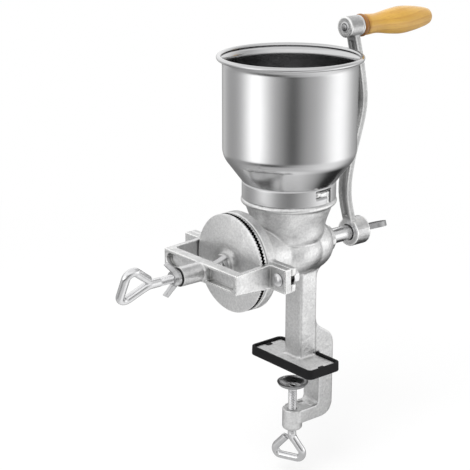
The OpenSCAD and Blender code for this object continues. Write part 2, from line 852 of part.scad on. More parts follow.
module drive_pin() color(zinc) at_shaft() along_x()
    translate([0, 0, pin_x]) rotate([0, 90, 0])
        cylinder(h = 2 * hub_r - 1, r = pin_r, center = true);

module thrust_ball() color(bright_steel) at_shaft() along_x()
    translate([0, 0, ball_x]) sphere(ball_r);

module yoke() color(cast_grey) at_shaft() difference() {
    union() {
        translate([bar_front, -yoke_out, -bar_h / 2]) cube([bar_l, 2 * yoke_out, bar_h]);
        along_x() translate([0, 0, nose_front]) cylinder(h = nose_l + bar_l, r = nose_r);
        for (m = [0, 1]) mirror([0, m, 0]) {
            translate([0, (yoke_in + yoke_out) / 2, 0])
                side(yoke_arm_t) polygon([
                    [bar_front, -bar_h / 2],
                    [ear_front, -ear_h / 2],
                    [ear_back, -ear_h / 2],
                    [ear_back, ear_h / 2],
                    [ear_front, ear_h / 2],
                    [bar_front, bar_h / 2]
                ]);
            translate([ear_front, yoke_in, -ear_h / 2]) cube([ear_t, ear_end - yoke_in, ear_h]);
        }
    }
    for (m = [0, 1]) mirror([0, m, 0]) {
        translate([bar_front - 1, 0, 0]) rotate([90, 0, 90]) linear_extrude(pocket_d + 1) {
            translate([nose_r + 1, -pocket_r]) square([pocket_end - nose_r - 1, 2 * pocket_r]);
            translate([pocket_end, 0]) circle(pocket_r);
        }
        translate([ear_front - 1, bolt_y, 0])
            along_x() cylinder(h = ear_t + 2, r = bolt_r + bolt_fit);
    }
    along_x() translate([0, 0, nose_front - 1])
        cylinder(h = nose_l + bar_l + 2, r = adjust_r + run_fit);
}

// Repeats a piece on both yoke bolts' axes
module at_bolts() {
    at_shaft() for (m = [0, 1]) mirror([0, m, 0])
        translate([0, bolt_y, 0]) along_x() children();
}

module yoke_bolts() color(zinc) at_bolts() {
    cap_r = (bolt_head_r * bolt_head_r + bolt_head_h * bolt_head_h) / (2 * bolt_head_h);
    translate([0, 0, ear_front]) intersection() {
        translate([0, 0, cap_r - bolt_head_h]) sphere(cap_r);
        translate([0, 0, -bolt_head_h - 1]) cylinder(h = bolt_head_h + 1, r = bolt_head_r + 1);
    }
    translate([0, 0, ear_front - 0.5]) cylinder(h = bolt_end - ear_front + 0.5, r = bolt_r);
}

module yoke_washers() color(zinc) at_bolts()
    translate([0, 0, flange_back]) difference() {
        cylinder(h = washer_t, r = washer_r);
        translate([0, 0, -1]) cylinder(h = washer_t + 2, r = bolt_r + bolt_fit);
    }

module yoke_nuts() color(zinc) at_bolts()
    translate([0, 0, washer_back]) difference() {
        cylinder(h = nut_h, r = nut_af / 2 / cos(30), $fn = 6);
        translate([0, 0, -1]) cylinder(h = nut_h + 2, r = bolt_r + run_fit);
    }

module adjusting_screw() color(zinc) at_shaft() {
    eye_x = nose_front - wing_hub_l - adjust_neck;
    along_x() translate([0, 0, eye_x]) cylinder(h = screw_tip - eye_x, r = adjust_r);
    translate([eye_x, 0, 0])
        rotate([adjust_eye_turn, adjust_eye_lean, 0]) along_x() wire_eye(adjust_r, adjust_eye_h);
}

module outer_wing_nut() color(zinc) at_shaft()
    translate([nose_front - pass_fit, 0, 0]) rotate([outer_wing_turn, 0, 0]) wing_nut();

module inner_wing_nut() color(zinc) at_shaft()
    translate([bar_back + pass_fit, 0, 0]) mirror([1, 0, 0])
        rotate([inner_wing_turn, 0, 0]) wing_nut();

// Middle line of the crank arm, distance along the shaft against height above it
function crank_line() = spline([
    [low_hub_mid - 6, low_hub_r * 0.4],
    [low_hub_mid - arm_lean_in, crank_r * 0.2],
    [low_hub_mid - arm_lean_in + 4, crank_r * 0.36],
    [low_hub_mid + arm_bow_out, crank_r * 0.61],
    [low_hub_mid + arm_bow_out - 4, crank_r * 0.79],
    [top_hub_mid + 2, crank_r - top_hub_r * 0.4]
]);

module crank_arm() color(cast_grey) at_shaft() difference() {
    line = crank_line();
    union() {
        along_x() translate([0, 0, low_hub_x]) cylinder(h = low_hub_l, r = low_hub_r);
        translate([top_hub_x, 0, crank_r]) along_x() cylinder(h = top_hub_l, r = top_hub_r);
        side(crank_w) polygon(concat(beside(line, crank_t / 2), reversed(beside(line, -crank_t / 2))));
    }
    difference() {
        side(channel_w) polygon(concat(
            beside(line, crank_t),
            reversed(beside(line, crank_t / 2 - channel_d))
        ));
        along_x() cylinder(h = 2 * low_hub_end, r = low_hub_r + 4);
        translate([0, 0, crank_r]) along_x() cylinder(h = 2 * top_hub_end, r = top_hub_r + 4);
    }
    along_x() difference() {
        translate([0, 0, low_hub_x - 1]) cylinder(h = low_hub_l + 2, r = shaft_r + run_fit);
        translate([-shaft_r - flat_d, -shaft_r, low_hub_x - 2])
            cube([2 * flat_d - run_fit, 2 * shaft_r, low_hub_l + 4]);
    }
    translate([top_hub_x - 1, 0, crank_r])
        along_x() cylinder(h = top_hub_l + 2, r = spindle_r + run_fit);
}

module thumb_screw() color(zinc) at_shaft() rotate([spade_turn, 0, 0]) {
    seat = low_hub_end + pass_fit;
    along_x() {
        translate([0, 0, shaft_end - thumb_depth])
            cylinder(h = seat - shaft_end + thumb_depth + 1, r = thumb_r);
        translate([0, 0, seat]) cylinder(h = 4, r1 = thumb_collar_r, r2 = thumb_collar_r - 1.5);
    }
    intersection() {
        translate([seat + 3, 0, 0]) linear_extrude(spade_t, center = true) {
            translate([0, -thumb_r]) square([spade_l / 2, 2 * thumb_r]);
            translate([spade_l - spade_w / 2, 0]) circle(spade_w / 2);
            polygon([
                [0, -thumb_r],
                [spade_l - spade_w / 2, -spade_w / 2],
                [spade_l - spade_w / 2, spade_w / 2],
                [0, thumb_r]
            ]);
        }
        along_x() cylinder(h = seat + 2 * spade_l, r = spade_w);
    }
}

module handle_spindle() color(zinc) at_shaft() translate([0, 0, crank_r]) along_x() {
    rivet_r2 = spindle_r + 1.6;
    translate([0, 0, top_hub_x - rivet_h]) cylinder(h = rivet_h, r1 = rivet_r2 - 1.4, r2 = rivet_r2);
    translate([0, 0, top_hub_x - 0.5])
        cylinder(h = spindle_head_x - top_hub_x + 1, r = spindle_r);
    translate([0, 0, spindle_head_x])
        cylinder(h = spindle_head_t, r1 = spindle_head_r, r2 = spindle_head_r - 1);
}

module grip_washer() color(zinc) at_shaft() translate([top_hub_end, 0, crank_r]) along_x()
    difference() {
        cylinder(h = grip_washer_t, r = grip_base_r - 1);
        translate([0, 0, -1]) cylinder(h = grip_washer_t + 2, r = spindle_r + run_fit);
    }

// Outline of the turned grip, radius against distance from its base
function grip_line() = concat(
    arc([grip_base_r - 2.5, 2.5], 2.5, -90, 90, 6),
    spline([
        [grip_neck_r - 0.2, 6],
        [grip_neck_r + 0.6, 9],
        [grip_neck_r, 24],
        [grip_swell_r - 1.4, grip_l * 0.43],
        [grip_swell_r, grip_l * 0.59],
        [grip_swell_r - 1.4, grip_l * 0.76],
        [grip_swell_r * 0.72, grip_l * 0.92],
        [spindle_head_r + 1.5, grip_l]
    ], 4)
);

module grip() color(honey_wood) at_shaft() translate([grip_x, 0, crank_r]) along_x() difference() {
    rotate_extrude() polygon(concat([[0, 0]], grip_line(), [[0, grip_l]]));
    translate([0, 0, -1]) cylinder(h = grip_l, r = spindle_r + run_fit);
    translate([0, 0, spindle_head_x - grip_x - pass_fit])
        cylinder(h = spindle_head_t + 4, r = spindle_head_r + pass_fit);
}

module clamp_screw() color(zinc) translate([clamp_x, 0, 0]) {
    seat = cup_low - pass_fit;
    translate([0, 0, clamp_eye_top]) cylinder(h = seat - clamp_eye_top, r = clamp_screw_r);
    translate([0, 0, seat - 1]) cylinder(h = cup_t + 2 * pass_fit + 2, r = rivet_r);
    translate([0, 0, cup_low + cup_t + pass_fit])
        cylinder(h = 1.6, r1 = rivet_r + 1.8, r2 = rivet_r);
    translate([0, 0, clamp_eye_top]) rotate(clamp_eye_turn) wire_eye(clamp_screw_r, clamp_eye_h);
}

// Outer line of the pressure cup from its middle to its rim
function cup_line() = concat(
    [[rivet_r + run_fit, cup_low], [clamp_screw_r + 3, cup_low]],
    curve([
        [clamp_screw_r + 4, cup_low],
        [cup_r * 0.75, cup_low],
        [cup_r - 1, cup_rim - cup_depth * 0.7],
        [cup_r, cup_rim]
    ], 6)
);

module clamp_cup() color(zinc) translate([clamp_x, 0, 0]) rotate_extrude()
    polygon(concat(
        cup_line(),
        [[cup_r - cup_t, cup_rim]],
        reversed([for (p = cup_line()) if (p.x < cup_r - cup_t) p + [0, cup_t]])
    ));

body_casting();
foot_pad();
hopper_bowl();
hopper_collar();
auger();
fixed_burr();
burr_screws();
turning_burr();
drive_pin();
thrust_ball();
yoke();
yoke_bolts();
yoke_washers();
yoke_nuts();
adjusting_screw();
outer_wing_nut();
inner_wing_nut();
crank_arm();
thumb_screw();
handle_spindle();
grip_washer();
grip();
clamp_screw();
clamp_cup();
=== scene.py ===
# %% [markdown]
# # A hand grain mill, dressed for the studio
#
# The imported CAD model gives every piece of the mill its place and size. This file gives each piece the
# surface of the real thing: soft cast edges, cut threads, spun sheet, turned and lacquered wood. All
# coordinates are the model's own: +Z is up, the grinding shaft lies along X, and the origin is on the
# table face below the hopper. Lengths are written in millimetres and turned into metres at the last step.

# %% Load the frame
import math

import bmesh
import bpy
import numpy as np
from mathutils import Matrix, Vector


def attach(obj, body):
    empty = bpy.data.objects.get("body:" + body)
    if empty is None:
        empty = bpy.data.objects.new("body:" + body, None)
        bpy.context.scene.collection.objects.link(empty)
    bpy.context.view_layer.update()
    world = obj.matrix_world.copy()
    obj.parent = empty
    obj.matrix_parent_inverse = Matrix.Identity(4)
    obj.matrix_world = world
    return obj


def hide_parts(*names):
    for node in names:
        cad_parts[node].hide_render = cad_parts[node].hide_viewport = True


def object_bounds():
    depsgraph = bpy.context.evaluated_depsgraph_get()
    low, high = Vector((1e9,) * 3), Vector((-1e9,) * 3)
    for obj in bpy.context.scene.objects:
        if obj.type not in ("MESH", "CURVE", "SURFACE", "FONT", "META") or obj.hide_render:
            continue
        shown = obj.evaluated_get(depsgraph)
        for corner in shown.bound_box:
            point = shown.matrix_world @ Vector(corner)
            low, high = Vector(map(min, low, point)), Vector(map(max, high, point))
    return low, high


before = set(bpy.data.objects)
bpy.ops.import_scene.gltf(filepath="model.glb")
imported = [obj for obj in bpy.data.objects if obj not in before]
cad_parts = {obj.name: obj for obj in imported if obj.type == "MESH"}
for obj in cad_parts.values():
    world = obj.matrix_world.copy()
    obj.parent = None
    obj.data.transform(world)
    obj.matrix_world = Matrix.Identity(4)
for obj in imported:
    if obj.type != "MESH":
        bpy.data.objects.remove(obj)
cad_box = [list(corner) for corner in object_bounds()]
scene = bpy.context.scene
MM = 0.001
SHAFT_Z, GRIP_Z = 132.5, 357.0
print("CAD box in mm:", [[round(v / MM) for v in corner] for corner in cad_box])

# %% [markdown]
# ## The camera
#
# The camera comes first, so that every later step can be judged from where the photographer stood. It could
# be aimed by eye. Its place was found instead by matching rim, shaft and foot plate to the picture: it looks
# down by under 18 degrees through a long lens, which keeps the hopper's sides nearly parallel.

# %% Camera
LENS, SENSOR = 105.08, 36
STAND_AT, LOOK_DOWN, LOOK_ROUND = (-0.91275, -1.02176, 0.58256), 17.66, -39.44
camera_data = bpy.data.cameras.new("camera")
camera_data.lens = LENS
camera_data.sensor_width = SENSOR
camera = bpy.data.objects.new("camera", camera_data)
camera.location = STAND_AT
camera.rotation_euler = (math.radians(90 - LOOK_DOWN), 0, math.radians(LOOK_ROUND))
scene.collection.objects.link(camera)
scene.camera = camera
print("camera", [round(v, 3) for v in camera.location])

# %% [markdown]
# ## From arrays to meshes
#
# A surface could be built face by face. Here it is a grid of points: one number runs along the rows and one
# along the columns, so numpy works out the whole of it at once. A grid can close on itself in either
# direction, as a ring or a tube does.

# %% Grid helpers
def grid_faces(rows, columns, wrap_rows, wrap_columns):
    """Quads between each four neighbours of a grid, with the last row or column joined to the first where
    asked."""
    index = np.arange(rows * columns).reshape(rows, columns)
    row = np.arange(rows if wrap_rows else rows - 1)
    column = np.arange(columns if wrap_columns else columns - 1)
    next_row = (row + 1) % rows
    next_column = (column + 1) % columns
    pairs = ((row, column), (next_row, column), (next_row, next_column), (row, next_column))
    return np.stack([index[np.ix_(a, b)] for a, b in pairs], -1).reshape(-1, 4)


def shell(points, wrap_rows=False, wrap_columns=True):
    """A surface as (points, quads): the points of a grid in mm and the quads between them."""
    rows, columns, _ = points.shape
    return points.reshape(-1, 3), grid_faces(rows, columns, wrap_rows, wrap_columns)


print("a tube of 3 rings of 8 points has", len(shell(np.zeros((3, 8, 3)))[1]), "quads")

# %% [markdown]
# Points that meet, at a pole or a seam, could stay double, but light would show the gap. So they are merged,
# and the faces are then turned to look outwards. A finished piece sits at the origin with its place in its
# mesh, as the CAD's own pieces do.

# %% Pieces from shells
MERGE = 2e-6


def merge_points(mesh, outward):
    """Merges points closer than MERGE metres and, where asked, turns the faces outwards."""
    work = bmesh.new()
    work.from_mesh(mesh)
    bmesh.ops.remove_doubles(work, verts=work.verts, dist=MERGE)
    if outward:
        bmesh.ops.recalc_face_normals(work, faces=work.faces)
    work.to_mesh(mesh)
    work.free()


def finish_mesh(name, mesh, sharp):
    """Smooth shading up to the sharp angle, and an object at the origin that holds the mesh."""
    mesh.polygons.foreach_set("use_smooth", np.ones(len(mesh.polygons), bool))
    mesh.set_sharp_from_angle(angle=math.radians(sharp))
    piece = bpy.data.objects.new(name, mesh)
    scene.collection.objects.link(piece)
    print(f"{name}: {len(mesh.vertices)} points, {len(mesh.polygons)} faces")
    return piece


def new_piece(name, shells, sharp=35):
    """One object from several shells: points are stacked, doubles merged, faces turned outwards and shaded
    smooth, except across edges that bend by more than the sharp angle in degrees."""
    offsets = np.cumsum([0] + [len(points) for points, _ in shells[:-1]])
    points = np.vstack([points for points, _ in shells]) * MM
    quads = np.vstack([quads + offset for (_, quads), offset in zip(shells, offsets)])
    mesh = bpy.data.meshes.new(name)
    mesh.vertices.add(len(points))
    mesh.vertices.foreach_set("co", points.astype(np.float32).ravel())
    mesh.loops.add(quads.size)
    mesh.loops.foreach_set("vertex_index", quads.astype(np.int32).ravel())
    mesh.polygons.add(len(quads))
    mesh.polygons.foreach_set("loop_start", np.arange(0, quads.size, 4, dtype=np.int32))
    mesh.update(calc_edges=True)
    merge_points(mesh, True)
    return finish_mesh(name, mesh, sharp)


print("points closer than", MERGE / MM, "mm are one point")

# %% [markdown]
# The real mill is bolted together from pieces that move on their own. A piece is dressed by saying which
# body of the CAD model it moves with, which finish it has and which CAD node it stands for. That could be
# written out for each piece, but it is the same four steps every time.

# %% Dressing a piece
def dress(piece, body, slot, material, *nodes):
    """The piece rides on a body, stands for CAD nodes and takes a material."""
    piece.data.materials.clear()
    piece.data.materials.append(material)
    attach(piece, body)
    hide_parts(*nodes)


# %% [markdown]
# No real edge is perfectly sharp, and the thin highlight along a rounded one is what makes metal look like
# metal. A Bevel modifier could round the finished mesh. Here the corners of an outline are rounded before
# there is a mesh, so each corner can have a radius of its own.

# %% Rounded corners
STRAIGHT, MOST_OF_SIDE = math.radians(89), 0.49


def rounded(corners, radius, steps=4):
    """A line of 2-D or 3-D points with each inner corner replaced by an arc of the given radius, or radii.
    An arc leaves the two sides at equal distances from the corner, r / tan(half the angle between them)."""
    corners = np.asarray(corners, float)
    radii = np.broadcast_to(np.asarray(radius, float), len(corners))
    line = [corners[:1]]
    for before, here, after, r in zip(corners[:-2], corners[1:-1], corners[2:], radii[1:-1]):
        a, b = before - here, after - here
        length_a, length_b = np.linalg.norm(a), np.linalg.norm(b)
        a, b = a / length_a, b / length_b
        half = math.acos(float(np.clip(a @ b, -1, 1))) / 2
        if r <= 0 or half > STRAIGHT:
            line.append(here[None])
            continue
        reach = min(r / math.tan(half), MOST_OF_SIDE * length_a, MOST_OF_SIDE * length_b)
        r = reach * math.tan(half)
        middle = (a + b) / np.linalg.norm(a + b)
        centre = here + middle * r / math.sin(half)
        turn = np.linspace(-1, 1, steps + 1)[:, None] * (math.pi / 2 - half)
        side = (b - a) / np.linalg.norm(b - a)
        line.append(centre - r * np.cos(turn) * middle + r * np.sin(turn) * side)
    line.append(corners[-1:])
    return np.vstack(line)


print("a rounded square corner has", len(rounded([(0, 0), (5, 0), (5, 5)], 1)), "points")

# %% [markdown]
# Most pieces of the mill were turned on a lathe or spun on one: a profile carried round an axis. A Screw
# modifier would do the same. With arrays it takes a few lines, and a nut or a burr can later let its radius
# or its depth change with the angle.

# %% Turned pieces
def full_turn(steps):
    """Equal angles round a circle."""
    return np.linspace(0, 2 * np.pi, steps, endpoint=False)


def turned(profile, axis="Z", at=(0, 0, 0), steps=96, closed=False):
    """A profile of (radius, distance) pairs carried round the Z or X axis through a point: each point goes
    round a circle of its own radius. A profile that starts and ends on the axis gives a closed body."""
    angle = full_turn(steps)
    radius, along = np.asarray(profile, float).T[..., None]
    across = radius * np.cos(angle)
    other = radius * np.sin(angle)
    level = along + np.zeros(steps)
    points = np.stack([across, other, level] if axis == "Z" else [level, across, other], -1)
    return shell(points + np.array(at), closed)


def ring(profile, axis="Z", at=(0, 0, 0), steps=96):
    """As turned, for a profile off the axis, such as a washer's: its last point joins its first."""
    return turned(profile, axis, at, steps, True)


print("a disc of 96 steps has", len(turned([(0, 0), (5, 0)])[1]), "faces")

# %% [markdown]
# ## Shared surface effects
#
# Every finish is made of shader nodes, which could be wired by hand in the editor. Small functions make
# them here, one for each kind of node that comes back often, so that a finish reads like a recipe.

# %% Node helpers
def feed(tree, node, inputs):
    """Sets a node's inputs. Each is a plain value or another node's output."""
    for key, value in inputs.items():
        if isinstance(value, bpy.types.NodeSocket):
            tree.links.new(value, node.inputs[key])
        else:
            node.inputs[key].default_value = value


def add(tree, kind, inputs, **settings):
    """A new node of a kind, with its settings and its inputs."""
    node = tree.nodes.new(kind)
    for key, value in settings.items():
        setattr(node, key, value)
    feed(tree, node, inputs)
    return node


def maths(tree, operation, *values, clamp=False):
    """The result of a Math node."""
    node = add(tree, "ShaderNodeMath", dict(enumerate(values)), operation=operation, use_clamp=clamp)
    return node.outputs[0]


def vectors(tree, operation, *values):
    """The result of a Vector Math node: a number for a length, and otherwise a vector."""
    node = add(tree, "ShaderNodeVectorMath", dict(enumerate(values)), operation=operation)
    return node.outputs["Value" if operation == "LENGTH" else "Vector"]


def ramp(tree, value, low, high, to_low=0.0, to_high=1.0):
    """The value's way from low to high, mapped to the way from to_low to to_high and held at both ends."""
    inputs = {"Value": value, "From Min": low, "From Max": high, "To Min": to_low, "To Max": to_high}
    return add(tree, "ShaderNodeMapRange", inputs).outputs["Result"]


def blend(tree, share, a, b, kind="MIX"):
    """Two colours mixed by a share from 0 to 1."""
    return add(tree, "ShaderNodeMix", {0: share, 6: a, 7: b}, data_type="RGBA", blend_type=kind).outputs[2]


def noise(tree, place, scale, detail, rough=0.5, output="Fac"):
    """Cloudy noise: a number, or a colour of three unlike numbers."""
    inputs = {"Vector": place, "Scale": scale, "Detail": detail, "Roughness": rough}
    return add(tree, "ShaderNodeTexNoise", inputs).outputs[output]


def bump(tree, height, strength, distance, invert=False):
    """Surface normals bent by a height."""
    inputs = {"Height": height, "Strength": strength, "Distance": distance}
    return add(tree, "ShaderNodeBump", inputs, invert=invert).outputs["Normal"]


print("node helpers:", [helper.__name__ for helper in (maths, vectors, ramp, blend, noise, bump)])

# %% [markdown]
# A pattern has to know which point it colours. Generated coordinates would stretch with the piece, so every
# pattern reads the piece's own coordinates in metres, and a scratch is as fine on the crank as on the body.
# An effect that several finishes share could be copied into each. A node group is built once instead, and
# each finish places it with values of its own.

# %% Places and groups
def object_place(tree, scale=(1, 1, 1), turn=(0, 0, 0)):
    """The shaded point in the piece's own coordinates, turned and scaled."""
    here = add(tree, "ShaderNodeTexCoord", {}).outputs["Object"]
    inputs = {"Vector": here, "Scale": scale, "Rotation": turn}
    return add(tree, "ShaderNodeMapping", inputs).outputs["Vector"]


def along(tree, axis):
    """The shaded point's place along one axis, in metres."""
    return add(tree, "ShaderNodeSeparateXYZ", {"Vector": object_place(tree)}).outputs[axis]


def new_group(name, inputs, outputs):
    """An empty node group with number sockets: its inputs with their defaults, and its outputs."""
    group = bpy.data.node_groups.new(name, "ShaderNodeTree")
    for label, default in inputs.items():
        socket = group.interface.new_socket(label, in_out="INPUT", socket_type="NodeSocketFloat")
        socket.default_value = default
    for label in outputs:
        group.interface.new_socket(label, in_out="OUTPUT", socket_type="NodeSocketFloat")
    return group, group.nodes.new("NodeGroupInput").outputs, group.nodes.new("NodeGroupOutput")


def use(tree, group, output, **inputs):
    """An output of a node group that is placed in a material with its own values."""
    return add(tree, "ShaderNodeGroup", inputs, node_tree=group).outputs[output]


print("groups before the first effect:", len(bpy.data.node_groups))

# %% [markdown]
# Three effects come back in several finishes, so each is a node group that is built once. Mottle is the
# cloudy change of tone that hot tin leaves on a casting. Grit is the fine bump of moulding sand. The third
# reads a number stored on the mesh, which says how far the surface bulges or dips at each point, and gives
# one mask for edges, which are lightened as rubbed tin and as a painted highlight, and one for hollows,
# which are darkened as painted shade.

# %% Mottle, grit, and wear with painted light
PIT_SIZE, LUMP_SIZE = 0.35, 0.28
EDGE_HOLLOW_FROM, EDGE_HOLLOW_FULL = 0.12, 0.8

mottle, inlet, outlet = new_group("mottle", {"Scale": 40, "Contrast": 1}, ["Mask"])
clouds = noise(mottle, object_place(mottle), inlet["Scale"], 6, 0.62)
spread = maths(mottle, "MULTIPLY", maths(mottle, "SUBTRACT", clouds, 0.5), inlet["Contrast"])
feed(mottle, outlet, {"Mask": maths(mottle, "ADD", spread, 0.5, clamp=True)})

grit, inlet, outlet = new_group("grit", {"Grain": 1400, "Pits": 0.4, "Lumps": 0}, ["Height"])
sand = noise(grit, object_place(grit), inlet["Grain"], 3, 0.6)
pit_place = {"Vector": object_place(grit, (PIT_SIZE,) * 3), "Scale": inlet["Grain"]}
cells = add(grit, "ShaderNodeTexVoronoi", pit_place, feature="F1").outputs["Distance"]
pitted = maths(grit, "MULTIPLY_ADD", cells, inlet["Pits"], sand)
swells = noise(grit, object_place(grit, (LUMP_SIZE,) * 3), inlet["Grain"], 2)
feed(grit, outlet, {"Height": maths(grit, "MULTIPLY_ADD", swells, inlet["Lumps"], pitted)})

# Edge lightens edges as rubbed tin and a painted highlight; Hollow darkens dips as painted shade
wear_and_painted_light, inlet, outlet = new_group("wear_and_painted_light", {"Reach": 1}, ["Edge", "Hollow"])
bulge = add(wear_and_painted_light, "ShaderNodeAttribute", {}, attribute_name="bulge").outputs["Fac"]
bulge = maths(wear_and_painted_light, "MULTIPLY", bulge, inlet["Reach"])
for label, sign in (("Edge", 1), ("Hollow", -1)):
    feed(wear_and_painted_light, outlet, {label: ramp(wear_and_painted_light, bulge, sign * EDGE_HOLLOW_FROM, sign * EDGE_HOLLOW_FULL)})
print("groups:", [group.name for group in bpy.data.node_groups])

# %% [markdown]
# ## Finishes
#
# The castings are tinned iron: a satin silver with clouds of tone, bright along the edges, where hands and
# files have rubbed them and where a highlight is painted, and darker in the hollows with painted shade. Each
# casting could have a material of its own making, but they differ only in how bright and how rough they
# are, so one function makes the finish for body, yoke, crank and burrs.

# %% Tinned casting
def new_material(name, metallic=0):
    """A material with its node tree and its shader."""
    material = bpy.data.materials.new(name)
    material.use_nodes = True
    shader = material.node_tree.nodes["Principled BSDF"]
    shader.inputs["Metallic"].default_value = metallic
    return material, material.node_tree, shader


def grey(value, blue=1.0):
    """A grey whose blue may be a little stronger or weaker."""
    return (value, value, value * blue, 1)


def tinned(name, dark, light, rough, grain, relief, cloud):
    """Tinned casting: clouds mix a dark and a light grey, edges are lighter, as rubbed tin and a painted
    highlight, and smoother, hollows darker with painted shade, and sand grit bumps the surface."""
    material, tree, shader = new_material(name, 1)
    clouds = use(tree, mottle, "Mask", Scale=cloud, Contrast=1.5)
    specks = use(tree, mottle, "Mask", Scale=420, Contrast=2.2)
    edge = use(tree, wear_and_painted_light, "Edge", Reach=1)
    hollow = use(tree, wear_and_painted_light, "Hollow", Reach=1)
    tone = blend(tree, clouds, grey(dark, 1.005), grey(light, 0.995))
    tone = blend(tree, 1.0, tone, blend(tree, specks, grey(0.80), grey(1.10)), "MULTIPLY")
    # painted shade: the hollows blend towards half the dark grey
    tone = blend(tree, hollow, tone, grey(dark * 0.5, 0.98))
    # edges blend towards a pale grey: rubbed tin and a painted highlight
    tone = blend(tree, edge, tone, (0.97, 0.97, 0.96, 1))
    gloss = ramp(tree, clouds, 0, 1, rough + 0.07, rough - 0.07)
    gloss = maths(tree, "MULTIPLY_ADD", edge, -0.12, gloss)
    height = use(tree, grit, "Height", Grain=grain, Pits=0.45, Lumps=0.12)
    normal = bump(tree, height, relief, 0.0008)
    feed(tree, shader, {"Base Color": tone, "Roughness": gloss, "Normal": normal})
    return material


body_tin = tinned("tinned_body", 0.60, 0.88, 0.35, 620, 0.52, 60)
yoke_tin = tinned("tinned_yoke", 0.58, 0.92, 0.31, 640, 0.48, 70)
crank_tin = tinned("tinned_crank", 0.29, 0.46, 0.34, 640, 0.46, 60)
burr_tin = tinned("tinned_burr", 0.67, 0.90, 0.35, 640, 0.44, 50)
print("castings:", [material.name for material in (body_tin, yoke_tin, crank_tin, burr_tin)])

# %% [markdown]
# The hopper is spun from stainless sheet and polished on the lathe, so its finest scratches run round it.
# A noise that is stretched along the circle would need a seam; instead the noise reads height and radius
# only, which gives rings that close on themselves.

# %% Spun sheet
def spun_sheet(name, tone, rough):
    """Polished sheet with turning lines: noise over (radius, height) makes rings, clouds vary the gloss."""
    material, tree, shader = new_material(name, 1)
    radius = vectors(tree, "LENGTH", object_place(tree, (1, 1, 0)))
    rings = add(tree, "ShaderNodeCombineXYZ", {"X": radius, "Y": along(tree, "Z")}).outputs["Vector"]
    lines = noise(tree, rings, 900, 4)
    clouds = use(tree, mottle, "Mask", Scale=18, Contrast=1.5)
    gloss = ramp(tree, maths(tree, "MULTIPLY", lines, clouds), 0, 1, rough - 0.05, rough + 0.11)
    colour = blend(tree, clouds, grey(tone, 1.01), (tone * 0.93, tone * 0.93, tone * 0.935, 1))
    normal = bump(tree, lines, 0.05, 0.0002)
    feed(tree, shader, {"Base Color": colour, "Roughness": gloss, "Normal": normal})
    return material


sheet_steel = spun_sheet("spun_steel", 0.58, 0.17)
band_steel = spun_sheet("band_steel", 0.55, 0.30)
print("sheet:", sheet_steel.name, band_steel.name)

# %% [markdown]
# Screws, nuts and washers are zinc plated. One grey with an even gloss would look like plastic, so small
# clouds change its tone and gloss, and a little grit keeps it from being a mirror. Some pieces are darker
# or rougher than the rest: the wing nuts are darker, which for the inner nut also paints the shade it sits
# in, the thumb screw and the cup are darker still, and bolts, spindle and shaft are rougher.

# %% Plated steel
def plated(name, tone, rough):
    """Bright zinc plate: clouds change its tone and gloss, faint grit bumps it."""
    material, tree, shader = new_material(name, 1)
    clouds = use(tree, mottle, "Mask", Scale=120, Contrast=1.6)
    colour = blend(tree, clouds, (tone * 0.82, tone * 0.82, tone * 0.83, 1), grey(tone, 1.01))
    gloss = ramp(tree, clouds, 0, 1, rough + 0.08, rough - 0.06)
    normal = bump(tree, use(tree, grit, "Height", Grain=1600, Pits=0.2), 0.12, 0.0003)
    feed(tree, shader, {"Base Color": colour, "Roughness": gloss, "Normal": normal})
    return material


zinc_plate = plated("zinc_plate", 0.80, 0.18)
shaft_steel = plated("turned_shaft", 0.80, 0.26)
bolt_plate = plated("bolt_plate", 0.72, 0.34)
spade_plate = plated("spade_plate", 0.36, 0.26)
pin_plate = plated("pin_plate", 0.74, 0.30)
# darker for both wing nuts, and for the inner one, between yoke and burr, painted shade
nut_plate = plated("nut_plate", 0.55, 0.22)
cup_plate = plated("cup_plate", 0.46, 0.28)
print("materials so far:", len(bpy.data.materials))

# %% [markdown]
# Some places are barer, dirtier or shaded: the burrs' teeth are cut after tinning, oil gathers round the
# shaft in the crank, the crank's hubs are filed brighter than its arm, and shade is painted into the slit
# between the burrs, the joint behind the fixed burr, round the turning burr's hub, under the yoke's wing
# nut, on the bolts and round the rivet. Such a place could be a piece of its own. Here a mask is enough,
# because each lies at a known depth along the shaft and distance from its axis.

# %% Masks by depth and distance
def window(tree, value, rise, fall):
    """1 between two limits, 0 outside: it climbs over the first pair of values in mm and drops over the
    second. A rise that lies below zero leaves the side towards an axis open."""
    up = ramp(tree, value, rise[0] * MM, rise[1] * MM)
    down = ramp(tree, value, fall[1] * MM, fall[0] * MM)
    return maths(tree, "MULTIPLY", up, down)


def retouch(material, colour, kind="MIX", depth=None, reach=None, axis_z=SHAFT_Z):
    """Blends a colour into a finished material inside a window of depth along X, a window of distance from
    the X axis at a height, or both."""
    tree = material.node_tree
    masks = []
    if depth:
        masks.append(window(tree, along(tree, "X"), *depth))
    if reach:
        away = vectors(tree, "SUBTRACT", object_place(tree), (0, 0, axis_z * MM))
        distance = vectors(tree, "LENGTH", vectors(tree, "MULTIPLY", away, (0, 1, 1)))
        masks.append(window(tree, distance, *reach))
    mask = maths(tree, "MULTIPLY", *masks) if len(masks) == 2 else masks[0]
    shader = tree.nodes["Principled BSDF"]
    own = shader.inputs["Base Color"].links[0].from_socket
    feed(tree, shader, {"Base Color": blend(tree, mask, own, colour, kind)})


print("masks are measured from the axis at", SHAFT_Z, "mm, unless told otherwise")

# %% [markdown]
# Each place is then one line: what happens to the colour, between which depths, and between which distances
# from the axis. Painting the same marks by hand would need an image. These follow the sizes of the pieces
# and stay as sharp as the render.

# %% Bare, filed, oily and painted-shade places
AXIS = (-2, -1)
DISC = (AXIS, (50.8, 51.15))
RIVET_FACE = ((70, 71), (74.6, 74.8))
# near black: the bare iron of the teeth, darkened further as painted shade, and painted shade on the joint
BARE_IRON_AND_SHADE = (0.05, 0.048, 0.046, 1)

